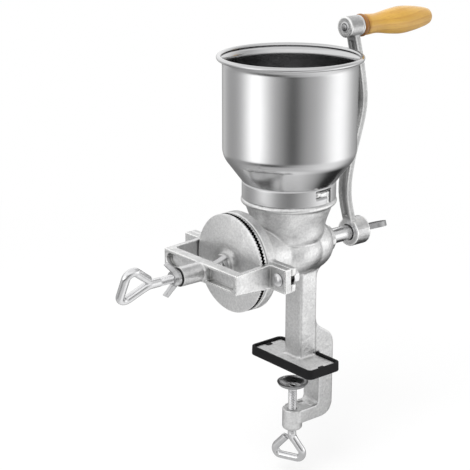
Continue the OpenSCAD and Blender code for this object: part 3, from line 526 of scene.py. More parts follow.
# burrs: bare teeth painted near black as the slit's shade, and painted shade on the joint behind the fixed
# burr
retouch(burr_tin, BARE_IRON_AND_SHADE, "MIX", ((-79.2, -79.1), (-73.9, -73.7)), DISC)
retouch(burr_tin, BARE_IRON_AND_SHADE, "MIX", ((-72.3, -72.0), (-71.0, -70.9)), DISC)
# painted shade: a soft darker ring round the turning burr's hub
retouch(burr_tin, grey(0.72), "MULTIPLY", ((-95, -94), (-80.6, -80.3)), ((9, 12), (14, 27)))
# yoke: a painted shadow ring on the boss's edge under the wing nut
retouch(yoke_tin, grey(0.08), "MIX", ((-148, -147), (-144.9, -144.3)), (AXIS, (14, 15)))
# crank: both hubs filed, and grease round the shaft
retouch(crank_tin, grey(1.85), "MULTIPLY", None, (AXIS, (14.5, 17)))
retouch(crank_tin, grey(1.3), "MULTIPLY", None, (AXIS, (11, 13)), GRIP_Z)
retouch(crank_tin, grey(0.06), "MIX", ((80, 81), (87.4, 87.8)), (AXIS, (9.0, 9.6)))
# bolts: painted shade on the head's lower rim, and painted shade with oil on the shank in its slot
retouch(bolt_plate, grey(0.08), "MIX", ((-75.5, -75.1), (-61, -60)))
# spindle: painted shade in the groove round the rivet, and on the rivet's dome
retouch(pin_plate, grey(0.09), "MIX", RIVET_FACE, ((2.9, 3.3), (4.0, 4.5)), GRIP_Z)
retouch(pin_plate, grey(0.45), "MULTIPLY", RIVET_FACE, (AXIS, (2.5, 2.9)), GRIP_Z)
print("retouched:", burr_tin.name, yoke_tin.name, crank_tin.name, bolt_plate.name, pin_plate.name)

# %% [markdown]
# The pad under the foot is moulded black rubber. Rubber is nearly black, yet a flat black would hide its
# shape, so scuffs lift the tone a little, vary the gloss, and fine grit breaks up the reflection.

# %% Rubber
rubber, tree, shader = new_material("black_rubber")
scuff = use(tree, mottle, "Mask", Scale=60, Contrast=1.8)
colour = blend(tree, scuff, (0.006, 0.006, 0.0065, 1), (0.014, 0.014, 0.0145, 1))
normal = bump(tree, use(tree, grit, "Height", Grain=1500, Pits=0.3), 0.25, 0.0003)
feed(tree, shader, {"Base Color": colour, "Roughness": ramp(tree, scuff, 0, 1, 0.5, 0.72),
                    "Normal": normal, "Specular IOR Level": 0.15})
print("rubber:", rubber.name)

# %% [markdown]
# The grip is turned from pale hardwood and dipped in honey-coloured lacquer. Its year rings are slices of
# cylinders round an axis beside the grip, so the distance from that axis, bent a little by noise, gives
# the figure. A ready-made wood texture would show the same rings on every grain direction. Long thin noise
# adds the pores, the end by the crank is browner, as a burn from the lathe and as painted shade, and the
# lacquer is the shader's own coat.

# %% Lacquered wood
RINGS_PER_METRE, BEND, PITH = 170.0, 0.010, (0, -0.012, 0.296)
FIGURE = ((0.0, (0.64, 0.385, 0.072, 1)), (0.55, (0.61, 0.355, 0.062, 1)),
          (0.86, (0.56, 0.310, 0.050, 1)), (1.0, (0.62, 0.365, 0.066, 1)))
PORE, SINGED_AND_SHADED = (0.36, 0.16, 0.035, 1), (0.24, 0.090, 0.014, 1)
GRAIN_STRETCH, GRAIN_TILT, PORE_STRETCH = (0.35, 1, 1), (0.05, 0.10, 0.06), (0.05, 1, 1)
SINGE_SHADE_ENDS, SINGE_SHADE_FULL, SINGE_SHADE_MOST = 0.1050, 0.0995, 0.92

wood, tree, shader = new_material("lacquered_wood")
place = object_place(tree, GRAIN_STRETCH, GRAIN_TILT)
shift = vectors(tree, "MULTIPLY", noise(tree, place, 26, 2, output="Color"), (BEND,) * 3)
flat = vectors(tree, "MULTIPLY", vectors(tree, "ADD", place, shift), (0, 1, 1))
years = vectors(tree, "LENGTH", vectors(tree, "SUBTRACT", flat, PITH))
rings = maths(tree, "FRACT", maths(tree, "MULTIPLY", years, RINGS_PER_METRE))
figure = add(tree, "ShaderNodeValToRGB", {"Fac": rings})
stops = figure.color_ramp.elements
stops[0].color = FIGURE[0][1]
stops[1].color = FIGURE[-1][1]
for position, colour in FIGURE[1:-1]:
    stops.new(position).color = colour
pores = ramp(tree, noise(tree, object_place(tree, PORE_STRETCH), 700, 3), 0.56, 0.72, 0, 0.35)
tone = blend(tree, pores, figure.outputs["Color"], PORE)
broad = use(tree, mottle, "Mask", Scale=30, Contrast=2.2)
tone = blend(tree, 1.0, tone, blend(tree, broad, (0.86, 0.80, 0.70, 1), (1.06, 1.05, 1.0, 1)), "MULTIPLY")
# the base end browner: a lathe burn and painted shade
singe_and_shade = ramp(tree, along(tree, "X"), SINGE_SHADE_ENDS, SINGE_SHADE_FULL, 0, SINGE_SHADE_MOST)
tone = blend(tree, singe_and_shade, tone, SINGED_AND_SHADED)
feed(tree, shader, {"Base Color": tone, "Normal": bump(tree, pores, 0.12, 0.0002, True), "Roughness": 0.34,
                    "Specular IOR Level": 0.35, "Coat Weight": 0.45, "Coat Roughness": 0.16})
print("materials:", len(bpy.data.materials))

# %% [markdown]
# ## Castings
#
# Sand casting rounds every edge and fills every inner corner. The CAD solids have sharp ones. A Bevel would
# round the edges but not the crossings, so each casting starts as a copy of its solid, is rebuilt as an
# even net of small quads, and is then relaxed: each point moves towards the mean of its neighbours and a
# little back again, which rounds corners and hardly shrinks the form.

# %% Even nets
def read_rows(vertices, field):
    """A field of every vertex, such as its place or its normal, as rows of three numbers."""
    values = np.empty(3 * len(vertices), np.float32)
    vertices.foreach_get(field, values)
    return values.reshape(-1, 3)


def edge_means(mesh):
    """A function that gives, for a value at each point, its mean over the point's neighbours."""
    ends = np.empty(2 * len(mesh.edges), np.int32)
    mesh.edges.foreach_get("vertices", ends)
    a, b = ends.reshape(-1, 2).T
    size = len(mesh.vertices)
    count = np.maximum(np.bincount(np.concatenate([a, b]), minlength=size), 1)

    def mean(values):
        """The values at the far ends of a point's edges, added up and divided by the number of edges."""
        columns = [(np.bincount(a, v[b], size) + np.bincount(b, v[a], size)) / count for v in values.T]
        return np.stack(columns, 1)
    return mean


def even_net(name, node, voxel):
    """A copy of a CAD solid as a net of quads of one size in mm, with the solid's lowest and highest
    corner."""
    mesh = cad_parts[node].data.copy()
    merge_points(mesh, False)
    solid = read_rows(mesh.vertices, "co")
    rough = bpy.data.objects.new(name + "_rough", mesh)
    scene.collection.objects.link(rough)
    net = rough.modifiers.new("net", "REMESH")
    net.mode = "VOXEL"
    net.voxel_size = voxel * MM
    skin = bpy.data.meshes.new_from_object(rough.evaluated_get(bpy.context.evaluated_depsgraph_get()))
    bpy.data.objects.remove(rough)
    skin.name = name
    skin.materials.clear()
    return skin, solid.min(0), solid.max(0)


print("solids in the frame:", len(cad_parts))

# %% [markdown]
# The mean that relaxes the net also tells how far the surface bulges at a point. That number is smoothed
# and stored on the mesh for the masks of wear and painted light, which light up the edges as rubbed tin and
# a painted highlight and darken the hollows with painted shade.

# %% Soft cast copies
STEP_IN, STEP_BACK = 0.5, 0.52
BULGE_UNIT, NEAR_ROUNDS, WIDE_ROUNDS, HOLLOW_DEPTH = 0.004, 3, 14, 2.5


def smoothed(values, mean, rounds):
    """Values replaced by their neighbours' mean, a number of times."""
    for _ in range(rounds):
        values = mean(values)
    return values


def cast_copy(name, node, voxel, rounds, sharp=60):
    """A softened copy of a CAD solid that stays in the solid's box. voxel is the net's pitch in mm. rounds
    says how often it is relaxed: STEP_IN of the way to the neighbours' mean, then STEP_BACK away from it."""
    skin, low, high = even_net(name, node, voxel)
    points = read_rows(skin.vertices, "co").astype(float)
    mean = edge_means(skin)
    for _ in range(rounds):
        points += STEP_IN * (mean(points) - points)
        points -= STEP_BACK * (mean(points) - points)
    points = np.clip(points, low, high)
    skin.vertices.foreach_set("co", points.astype(np.float32).ravel())
    skin.update()
    lift = -((mean(points) - points) * read_rows(skin.vertices, "normal")).sum(1, keepdims=True)
    bulge = lift / (voxel * MM) ** 2 * BULGE_UNIT
    wide = smoothed(bulge, mean, WIDE_ROUNDS)
    bulge = smoothed(bulge, mean, NEAR_ROUNDS)
    # in broad hollows the deeper, wider value is kept, so their painted shade reaches further
    bulge = np.where(wide < 0, np.minimum(bulge, HOLLOW_DEPTH * wide), bulge)
    stored = skin.attributes.new("bulge", "FLOAT", "POINT")
    stored.data.foreach_set("value", bulge[:, 0].astype(np.float32))
    return finish_mesh(name, skin, sharp)


for name, node, voxel, rounds, body, slot, material in (
        ("body_cast", "body_casting", 1.22, 5, "stand", "cast", body_tin),
        ("yoke_cast", "yoke", 0.7, 4, "stand", "cast", yoke_tin),
        ("crank_cast", "crank_arm", 0.8, 8, "rotor", "cast", crank_tin),
        ("wing_nut_outer", "outer_wing_nut", 0.45, 6, "outer_lock", "plated", nut_plate),
        ("wing_nut_inner", "inner_wing_nut", 0.45, 6, "inner_lock", "plated", nut_plate),
        ("spade_screw", "thumb_screw", 0.5, 6, "crank_fastener", "plated", spade_plate)):
    dress(cast_copy(name, node, voxel, rounds), body, slot, material, node)

# %% [markdown]
# ## Hopper
#
# The bowl is spun from one disc of sheet, so it is the same all round. A curve with a Screw modifier would
# do. One line carried round the axis gives more control: it runs up the outside of cone and wall, round the
# rolled rim, and down the inside exactly one sheet thickness away.

# %% Hopper bowl
SHEET, BOWL_R, SHOULDER_R, CONE = 1.1, 69.0, 22.0, math.radians(53)
BAND_R, BAND_LOW, BAND_TOP = 48.95, SHAFT_Z + 57.35, SHAFT_Z + 75.15
CONE_END_R, WALL_TO_RIM, BEAD_R, BEAD_OUT = 46.5, 93.1, 2.5, 3.5
FLARE_LOW, FLARE_TOP, FLARE_OUT, FLARE_R = 8, 3.2, 1.0, 14
ROLL_FROM, ROLL_TO, BEAD_GAP = -2.3, math.pi + 0.75, 0.2
rise = math.tan(CONE)
cone_run = BOWL_R - SHOULDER_R * (1 - math.sin(CONE)) - BAND_R
wall_low = BAND_TOP + cone_run * rise + SHOULDER_R * math.cos(CONE)
rim_z, rim_r = wall_low + WALL_TO_RIM, BOWL_R + BEAD_OUT
corner_z = wall_low - SHOULDER_R * math.tan((math.pi / 2 - CONE) / 2)
corners = [(CONE_END_R, BAND_TOP - (BAND_R - CONE_END_R) * rise), (BOWL_R, corner_z),
           (BOWL_R, rim_z - FLARE_LOW), (BOWL_R + FLARE_OUT, rim_z - FLARE_TOP)]
outer = rounded(corners, (0, SHOULDER_R, FLARE_R, 0), 14)
roll = np.linspace(ROLL_FROM, ROLL_TO, 28)
bead = np.stack([rim_r + BEAD_R * np.cos(roll), rim_z + BEAD_R * np.sin(roll)], 1)
slope = np.gradient(outer, axis=0)
inner = outer + SHEET * np.stack([-slope[:, 1], slope[:, 0]], 1) / np.linalg.norm(slope, axis=1)[:, None]
bowl_line = np.vstack([outer, bead[bead[:, 0] > BOWL_R + BEAD_GAP], inner[::-1]])
bowl = new_piece("bowl_spun", [ring(bowl_line, "Z", (0, 0, 0), 192)], 50)
dress(bowl, "hopper", "sheet", sheet_steel, "hopper_bowl")

# %% [markdown]
# Under the bowl sits a band with two L-shaped slots that hook over lugs on the throat. A Boolean could cut
# them, but it leaves ragged faces. This grid has lines exactly where the slots begin and end, so the slots
# are simply the cells that are left out. A Solidify modifier then gives the sheet its thickness.

# %% Slotted band
LUG_TURN, TWIST, SLOT_REACH, SLOT_LEG = -94.0, 19.0, 3.82, 4.17
GRID_TURN, LEAST_TURN = 2.0, 0.05
slot_top, slot_low = BAND_TOP - 2.5, BAND_TOP - 10.0
slot_edges = np.array([-SLOT_REACH, TWIST - SLOT_LEG, TWIST + SLOT_REACH, TWIST + SLOT_LEG])
cuts = (np.array([[LUG_TURN], [LUG_TURN + 180]]) + slot_edges).ravel() % 360
angle = np.unique(np.round(np.concatenate([np.arange(0, 360, GRID_TURN), cuts]), 4))
angle = angle[np.append(np.diff(angle) > LEAST_TURN, True)]
level = np.array([BAND_LOW, BAND_LOW + 0.5, BAND_LOW + 4, slot_low, slot_low + 3, slot_top, BAND_TOP - 0.1])
x, y = BAND_R * np.cos(np.radians(angle)), BAND_R * np.sin(np.radians(angle))
points, quads = shell(np.stack(np.broadcast_arrays(x, y, level[:, None]), -1))
middle_z = (level[:-1, None] + level[1:, None] + np.zeros(len(angle))).ravel() / 2
middle_a = np.tile(angle + (np.roll(angle, -1) - angle) % 360 / 2, len(level) - 1)
turn = (middle_a - LUG_TURN) % 180
turn = np.where(turn > 90, turn - 180, turn)
under_top = middle_z < slot_top
in_slot = (turn > -SLOT_REACH) & (turn < TWIST + SLOT_REACH) & (middle_z > slot_low) & under_top
in_leg = (abs(turn - TWIST) < SLOT_LEG) & under_top
band = new_piece("band_slotted", [(points, quads[~(in_slot | in_leg)])], 40)
thick = band.modifiers.new("sheet", "SOLIDIFY")
thick.thickness = SHEET * MM
thick.offset = -1
dress(band, "hopper", "sheet", band_steel, "hopper_collar")

# %% [markdown]
# ## Burrs
#
# Each burr is a disc whose working face carries radial teeth. Only their zigzag shows, at the rim, as a
# dark crooked line between the two discs. Copies of one tooth would need joining. Instead the disc's outline
# goes round as for any turned piece, and on the toothed face its depth follows a triangle wave in the angle,
# twice as fine at the rim. The two discs' waves are half a step apart, so tooth stands opposite gap and the
# slit between the discs keeps one width.

# %% Toothed discs
TEETH, NICKS, BURR_R, NICK = 48, 96, 51.2, 1.6
FIXED_ROOT, FIXED_TOOTH, TURNING_ROOT, TURNING_TOOTH = -73.5, -2.0, -79.0, 1.9
FOOT_R, DOME_RUN, DOME_EDGE, DOME_RISE, BOSS_R, BOSS_END = 16, 32.4, -80.25, 2.2, 12, -89.95


def toothed(profile, phase, steps=NICKS * 8):
    """A closed profile carried round X. Its rows give radius, distance, tooth and nick: the last two are
    the heights of two triangle waves of the angle, a tooth and a nick long, that move the row along X."""
    angle = full_turn(steps)
    tooth_wave, nick_wave = (np.abs((angle * n / (2 * np.pi) + phase) % 1 - 0.5) * 2 for n in (TEETH, NICKS))
    radius, distance, tooth, nick = np.asarray(profile, float).T[..., None]
    x = distance + tooth * tooth_wave + nick * nick_wave
    return shell(np.stack([x, radius * np.cos(angle), radius * np.sin(angle) + SHAFT_Z], -1), True)


fixed = [(25, -71.5, 0, 0), (50.1, -71.5, 0, 0), (BURR_R, -72.4, 0, 0), (BURR_R, -73.7, 0, 0),
         (BURR_R, -73.9, 0, -NICK), (46, FIXED_ROOT, FIXED_TOOTH, 0), (27, FIXED_ROOT, FIXED_TOOTH, 0),
         (26.5, FIXED_ROOT, 0, 0), (25, FIXED_ROOT, 0, 0)]
dress(new_piece("burr_fixed", [toothed(fixed, 0)], 28), "stand", "cast", burr_tin, "fixed_burr")

working = [(8.31, TURNING_ROOT, 0, 0), (26.5, TURNING_ROOT, 0, 0), (27, TURNING_ROOT, TURNING_TOOTH, 0),
           (46, TURNING_ROOT, TURNING_TOOTH, 0), (BURR_R, -79.1, 0, NICK)]
rim = [(BURR_R, -79.2), (50.9, -79.6), (49.9, -79.98)]
share = np.linspace(1, 0, 12)
dome = np.stack([FOOT_R + share * DOME_RUN, DOME_EDGE - DOME_RISE * (1 - share ** 2)], 1)
foot = DOME_EDGE - DOME_RISE
hub = [(FOOT_R, foot), (BOSS_R, foot - 2), (BOSS_R, BOSS_END), (4.4, BOSS_END)]
hub = rounded(hub, (0, 3, 1.6, 0), 5)
socket = [(3.9, -89.6), (3.6, -88.0), (1.5, -87.0), (0.01, -86.9), (0.01, -86.31), (8.31, -86.31)]
plain = np.vstack([rim, dome, hub[1:], socket])
turning = np.vstack([working, np.hstack([plain, np.zeros((len(plain), 2))])])
dress(new_piece("burr_turning", [toothed(turning, 0.5)], 28), "rotor", "cast", burr_tin, "turning_burr")

# %% [markdown]
# ## Screws with wire eyes
#
# The adjuster and the clamp screw are each one length of rod: threaded, then bent into a three-sided eye
# whose cut end stops beside the shank. A curve with a round bevel could follow the bends but has no thread.
# Here a round section is carried along a path, and its radius may depend on both the way along the path and
# the angle.

# %% Bent rods
BENDS, PATH_STEP, WIRE_R = (0, 9, 7.0, 7.0, 0), 0.2, 4.3
NEAR_CORNER, FAR_CORNER, CUT_DROP = 20.25, 28.25, 1.4


def eye_screw(tip, stem_r, height, turn, at):
    """A screw's middle line: from the tip straight to the apex, then round the eye's two far corners, a
    height below the apex, to its cut end. The eye is turned about the apex, which is then moved to a place.
    Returns points at equal steps with rounded bends, and each point's distance from the tip."""
    eye = [(NEAR_CORNER, 0, -height), (-FAR_CORNER, 0, -height), (-stem_r - WIRE_R / 2, 0, -CUT_DROP)]
    line = rounded(np.vstack([[tip, (0, 0, 0)], np.array(eye) @ turn.T]) + at, BENDS, 24)
    length = np.concatenate([[0], np.cumsum(np.linalg.norm(np.diff(line, axis=0), axis=1))])
    s = np.linspace(0, length[-1], int(length[-1] / PATH_STEP) + 1)
    return np.stack([np.interp(s, length, column) for column in line.T], 1), s


def rod(path, radius, reference, around=28):
    """A section carried along a path. radius(s, angle) gives its size; the section stands square to the path
    and is turned so that its second axis lies as near as may be to the reference direction."""
    points, s = path
    ahead = np.gradient(points, axis=0)
    ahead /= np.linalg.norm(ahead, axis=1)[:, None]
    side = np.cross(ahead, reference)
    side /= np.linalg.norm(side, axis=1)[:, None]
    up = np.cross(side, ahead)
    angle = full_turn(around)
    round_trip = np.cos(angle)[:, None] * side[:, None] + np.sin(angle)[:, None] * up[:, None]
    body = points[:, None] + radius(s[:, None], angle[None])[..., None] * round_trip
    first, last = (np.repeat(points[i][None, None], around, 1) for i in (0, -1))
    return shell(np.concatenate([first, body, last]))


print("the eyes' wire is", 2 * WIRE_R, "mm thick")

# %% [markdown]
# A thread could be a helix of faces wound round the rod. Here the rod's own radius makes it: a triangle wave
# of the way along, which moves on by one pitch in a turn, cuts the grooves. They run out at both ends, as
# they do where the die stops, and the rod is a little thinner from the first bend on.

# %% Thread
PITCH, THREAD_DEPTH, THREAD_FADE, CHAMFER, CUT_EDGE = 1.5, 0.75, 2.0, 1.4, 0.8
THIN_BEFORE, THIN_OVER = 4, 14


def screw_radius(stem_r, thread_from, thread_to, apex, length, tip):
    """Radius along a screw: a chamfered tip, a thread that fades in and out, a shank, then thinner wire from
    the apex on, with its cut end's edge broken."""
    def radius(s, angle):
        """The stem or the wire, less the thread's groove, the tip's chamfer and the cut end's edge."""
        thread = np.abs((s / PITCH - angle / (2 * np.pi)) % 1 - 0.5) * 2
        depth = THREAD_DEPTH * np.clip(np.minimum(s - thread_from, thread_to - s) / THREAD_FADE, 0, 1)
        thin = np.clip((s - apex + THIN_BEFORE) / THIN_OVER, 0, 1)
        base = stem_r + (WIRE_R - stem_r) * thin * thin * (3 - 2 * thin)
        chamfer = np.minimum(CHAMFER - s, CHAMFER).clip(0) * tip
        broken = CUT_EDGE * np.clip(1 - (length - s) / CUT_EDGE, 0, 1) ** 2
        return base - depth * thread - chamfer - broken
    return radius


def rotation(degrees, axis):
    """A turn about one axis as a numpy matrix."""
    return np.array(Matrix.Rotation(math.radians(degrees), 3, axis))


print("thread of", PITCH, "mm a turn,", THREAD_DEPTH, "mm deep")

# %% [markdown]
# The adjuster runs along the shaft's axis with its eye turned and leaning a little, as left by whoever used
# it last. The clamp screw stands upright under the foot, and its upper end is riveted over inside the cup.
# Both come from the same functions, so only their sizes and turns are given here.

# %% Adjuster and clamp screw
ADJUST_R, EYE_X, SCREW_TIP, ADJUST_EYE, ADJUST_PLAIN = 4.6, -181.66, -95.34, 30.5, 13
EYE_LEAN, EYE_TURN = math.radians(2), math.radians(24)
lean = np.array(Matrix.Rotation(EYE_LEAN, 3, "Y") @ Matrix.Rotation(EYE_TURN, 3, "X"))
shank = SCREW_TIP - EYE_X
path = eye_screw((shank, 0, 0), ADJUST_R, ADJUST_EYE, lean @ rotation(90, "Y"), (EYE_X, 0, SHAFT_Z))
size = screw_radius(ADJUST_R, 1.0, shank - ADJUST_PLAIN, shank, path[1][-1], 0.8)
adjuster = new_piece("adjuster_threaded", [rod(path, size, lean @ (0, 1, 0))], 60)
dress(adjuster, "adjuster", "plated", zinc_plate, "adjusting_screw")

CLAMP_R, CLAMP_X, CLAMP_APEX, CLAMP_EYE, CLAMP_PLAIN, CLAMP_EYE_TURN = 4.8, 9.05, -87.5, 25.5, 3, -66
CUP_LOW, CUP_TOP, CUP_SHEET, CUP_PLAY, RIVET_H, RIVET_R, NECK_R = -28.6, -22, 1.6, 0.35, 1.6, 4.5, 2.88
clamp_turn = rotation(CLAMP_EYE_TURN, "Z")
rivet_top = CUP_LOW + CUP_SHEET + CUP_PLAY + RIVET_H
neck = rivet_top - (CUP_LOW - CUP_PLAY)
shank = rivet_top - CLAMP_APEX
path = eye_screw((0, 0, shank), CLAMP_R, CLAMP_EYE, clamp_turn, (CLAMP_X, 0, CLAMP_APEX))
plain_size = screw_radius(CLAMP_R, neck + 1.5, shank - CLAMP_PLAIN, shank, path[1][-1], 0)


def clamp_radius(s, angle):
    """The clamp screw's radius, with a domed rivet and its narrow neck at the upper end."""
    dome = RIVET_R * np.sqrt(np.clip(1 - (1 - s / RIVET_H) ** 2, 0, 1))
    return np.where(s < RIVET_H, dome, np.where(s < neck, NECK_R, plain_size(s, angle)))


clamp = new_piece("clamp_threaded", [rod(path, clamp_radius, clamp_turn @ (0, 1, 0))], 60)
dress(clamp, "clamp_spindle", "plated", zinc_plate, "clamp_screw")

# %% [markdown]
# ## Cup, bolts, nuts and washers
#
# The clamp presses the table with a dished cup, and two dome-headed bolts hold the yoke. A plain cylinder
# would pass for neither, so both are profiles carried round: the cup's goes down the outside and back up the
# inside, the bolt's over its dome and along the shank.

# %% Clamp cup and yoke bolts
CUP_BORE = 2.94
cup_out = rounded([(CUP_BORE, CUP_LOW), (9, CUP_LOW), (15.6, CUP_LOW + 3.4), (17, CUP_TOP)], (0, 6, 5, 0), 8)
cup_in = rounded([(15.4, CUP_TOP), (14.3, CUP_LOW + 4.6), (8.4, CUP_LOW + CUP_SHEET),
                  (CUP_BORE, CUP_LOW + CUP_SHEET)], (0, 5, 6, 0), 8)
cup_line = np.vstack([cup_out, [(16.7, CUP_TOP), (15.7, CUP_TOP)], cup_in])
cup = new_piece("cup_dished", [ring(cup_line, "Z", (CLAMP_X, 0, 0))], 40)
dress(cup, "clamp_head", "plated", cup_plate, "clamp_cup")

EAR_FRONT, BOLT_END, BOLT_Y, BOLT_R, HEAD_R, HEAD_H = -74.66, -49.9, 69.05, 4.0, 7.0, 3.8
bolt_places = [(0, side * BOLT_Y, SHAFT_Z) for side in (-1, 1)]
cap = np.linspace(0, 1, 14)[:, None] * (math.pi / 2)
head = np.hstack([HEAD_R * np.sin(cap) ** 0.9, EAR_FRONT - HEAD_H * np.cos(cap)])
under_head = [(HEAD_R, EAR_FRONT - 0.02), (BOLT_R, EAR_FRONT - 0.02)]
bolt_shank = rounded([(BOLT_R, -70), (BOLT_R, BOLT_END), (0, BOLT_END)], (0, 0.8, 0), 4)
bolt_line = np.vstack([head, under_head, bolt_shank])
bolts = [turned(bolt_line, "X", place, 64) for place in bolt_places]
dress(new_piece("bolts_domed", bolts, 32), "stand", "plated", bolt_plate, "yoke_bolts")

# %% [markdown]
# Behind the ears each bolt has a washer and a hexagon nut. A nut could be a six-sided cylinder, but a real
# one has its corners cut by a cone. It is a turned profile too, if its radius may change with the angle: the
# distance to a flat side, and no more than the cone that the chamfer leaves.

# %% Nuts and washers
FLANGE_BACK, NUT_FACE, NUT_END, BREAK, CONE_SLOPE = -60.0, -58.4, -51.9, 0.4, 1.7
NUT_FLATS, NUT_BORE, WASHER_BORE, WASHER_R, WASHER_BREAK = 13.0, 4.06, 4.25, 8.4, 0.3


def hex_nut(low, high, flats, bore, at, steps=96):
    """A nut along X: the side's radius is flats / 2 / cos(angle from the middle of a flat), and near both
    ends no more than a cone that starts at the flats' own circle. The hole's rows have the bore's radius."""
    angle = full_turn(steps)
    hexagon = flats / 2 / np.cos((angle + np.pi / 6) % (np.pi / 3) - np.pi / 6)
    side_x = np.array([low, low + 0.35, low + 1.2, high - 1.2, high - 0.35, high])
    cone = flats / 2 + np.minimum(side_x - low, high - side_x) * CONE_SLOPE
    side = np.minimum(hexagon, cone[:, None] + 0.05)
    hole = np.array([bore + BREAK, bore + BREAK, bore, bore])[:, None] + np.zeros(steps)
    radius = np.vstack([hole[:1], side, hole[1:]])
    x = np.concatenate([[low], side_x, [high, high - BREAK, low + BREAK]])[:, None] + np.zeros(steps)
    return shell(np.stack([x, radius * np.cos(angle), radius * np.sin(angle)], -1) + np.array(at), True)


def washer_line(low, high, bore, edge):
    """A washer's closed section with its outer edges broken."""
    inside = edge - WASHER_BREAK
    return [(bore, low), (inside, low), (edge, low + WASHER_BREAK), (edge, high - WASHER_BREAK),
            (inside, high), (bore, high)]


nuts = [hex_nut(NUT_FACE, NUT_END, NUT_FLATS, NUT_BORE, place) for place in bolt_places]
dress(new_piece("nuts_hexagon", nuts, 25), "stand", "plated", zinc_plate, "yoke_nuts")
washer = washer_line(FLANGE_BACK, NUT_FACE, WASHER_BORE, WASHER_R)
washers = [ring(washer, "X", place, 64) for place in bolt_places]
dress(new_piece("washers_plain", washers, 25), "stand", "plated", zinc_plate, "yoke_washers")

# %% [markdown]
# ## Shaft and feed screw
#
# Looking down the hopper one sees the screw that feeds the burrs. A twisted strip would have no thickness,
# so its flight is a wall wound round the core: the grid's first number is the turn of the helix and the
# second goes round the wall's section, from the core out to the edge and back.

# %% Feed screw
FLIGHT_R, FLIGHT_T, FLIGHT_PITCH, CORE_R, SHAFT_R = 22.5, 4.0, 34.0, 11.5, 8.25
FLIGHT_FROM, FLIGHT_TO, SHAFT_FROM, SHAFT_TO, ROOT_R = -65.5, 32.0, -86.25, 104.3, 10.5
# the flight's two ends: the share of its thickness and height there, and the radians until it is full
END_THICK, THICK_TURN, END_HEIGHT, HEIGHT_TURN = 0.12, 0.5, 0.35, 0.9
turn = np.linspace(0, 2 * np.pi * (FLIGHT_TO - FLIGHT_FROM) / FLIGHT_PITCH, 300)[:, None]
from_end = np.minimum(turn, turn[-1] - turn)
wall_r = np.array([ROOT_R, 14, 18, 21.6, FLIGHT_R, FLIGHT_R, 21.6, 18, 14, ROOT_R])
wall_x = np.array([-0.5, -0.44, -0.36, -0.28, -0.14, 0.14, 0.28, 0.36, 0.44, 0.5]) * FLIGHT_T
wall_x = wall_x * np.clip(from_end / THICK_TURN, END_THICK, 1)
tall = END_HEIGHT + (1 - END_HEIGHT) * np.clip(from_end / HEIGHT_TURN, 0, 1)
edge_r = ROOT_R + (wall_r - ROOT_R) * tall
flight_x = np.clip(FLIGHT_FROM + turn * FLIGHT_PITCH / (2 * np.pi) + wall_x, FLIGHT_FROM, FLIGHT_TO)
flight = shell(np.stack([flight_x, -edge_r * np.sin(turn), -edge_r * np.cos(turn) + SHAFT_Z], -1))
core = rounded([(0, SHAFT_FROM), (SHAFT_R, SHAFT_FROM), (SHAFT_R, FLIGHT_FROM), (CORE_R, FLIGHT_FROM),
                (CORE_R, FLIGHT_TO), (SHAFT_R, FLIGHT_TO), (SHAFT_R, SHAFT_TO), (0, SHAFT_TO)],
               (0, 0.8, 0.5, 0.8, 0.8, 0.5, 1.0, 0), 4)
feed_screw = new_piece("shaft_and_feed_screw", [turned(core, "X", (0, 0, SHAFT_Z), 96), flight], 35)
dress(feed_screw, "rotor", "plated", shaft_steel, "auger")

# %% [markdown]
# ## Handle
#
# The grip is turned wood: a bead at the base, a cut groove, a slim neck, a long swell and a rounded end with
# a hole for the spindle's head. Straight steps between measured radii would show as facets, so a smooth
# curve goes through them.

# %% Grip
GRIP_X, GRIP_BORE, BASE_R, BASE_BEAD = 95.1, 4.26, 9.5, 2.5
SWELL = [(10.2, 6.0), (11.0, 9), (10.4, 24), (13.2, 44.3), (14.58, 60.8), (13.2, 78.3), (10.5, 94.8),
         (8.6, 101.6)]


def smooth_line(knots, count):
    """A curve through the given (radius, distance) knots: between two knots it is the cubic whose slopes at
    both ends are those of the chords between their neighbours."""
    knots = np.asarray(knots, float)
    padded = np.vstack([2 * knots[0] - knots[1], knots, 2 * knots[-1] - knots[-2]])
    where = np.linspace(0, len(knots) - 1, count)
    k = np.minimum(where.astype(int), len(knots) - 2)
    t = (where - k)[:, None]
    a, b, c, d = (padded[k + i] for i in range(4))
    square, cube = 2 * a - 5 * b + 4 * c - d, 3 * b - a - 3 * c + d
    return 0.5 * (2 * b + (c - a) * t + square * t ** 2 + cube * t ** 3)


bead_turn = np.linspace(-math.pi / 2, math.pi / 2, 12)
base = np.stack([BASE_R + BASE_BEAD * np.cos(bead_turn), BASE_BEAD + BASE_BEAD * np.sin(bead_turn)], 1)
groove = [(9.4, 5.15), (9.3, 5.6)]
end = rounded([SWELL[-1], (7.6, 103), (6.9, 103), (6.9, 97.7), (GRIP_BORE, 97.7), (GRIP_BORE, 0)],
              (0, 0.9, 0.5, 0.3, 0.3, 0), 4)
grip_line = np.vstack([[(GRIP_BORE, 0)], base, groove, smooth_line(SWELL, 80), end[1:-1]]) + (0, GRIP_X)
grip = new_piece("grip_turned", [ring(grip_line, "X", (0, 0, GRIP_Z), 96)], 38)
dress(grip, "handle", "wood", wood, "grip")

# %% [markdown]
# The grip turns on a headed pin that is riveted into the crank, and a washer keeps the wood off the iron.
# The rivet is a small dome in a ground recess. Both pieces are turned: a dent made with bump alone would
# vanish in the exported mesh.

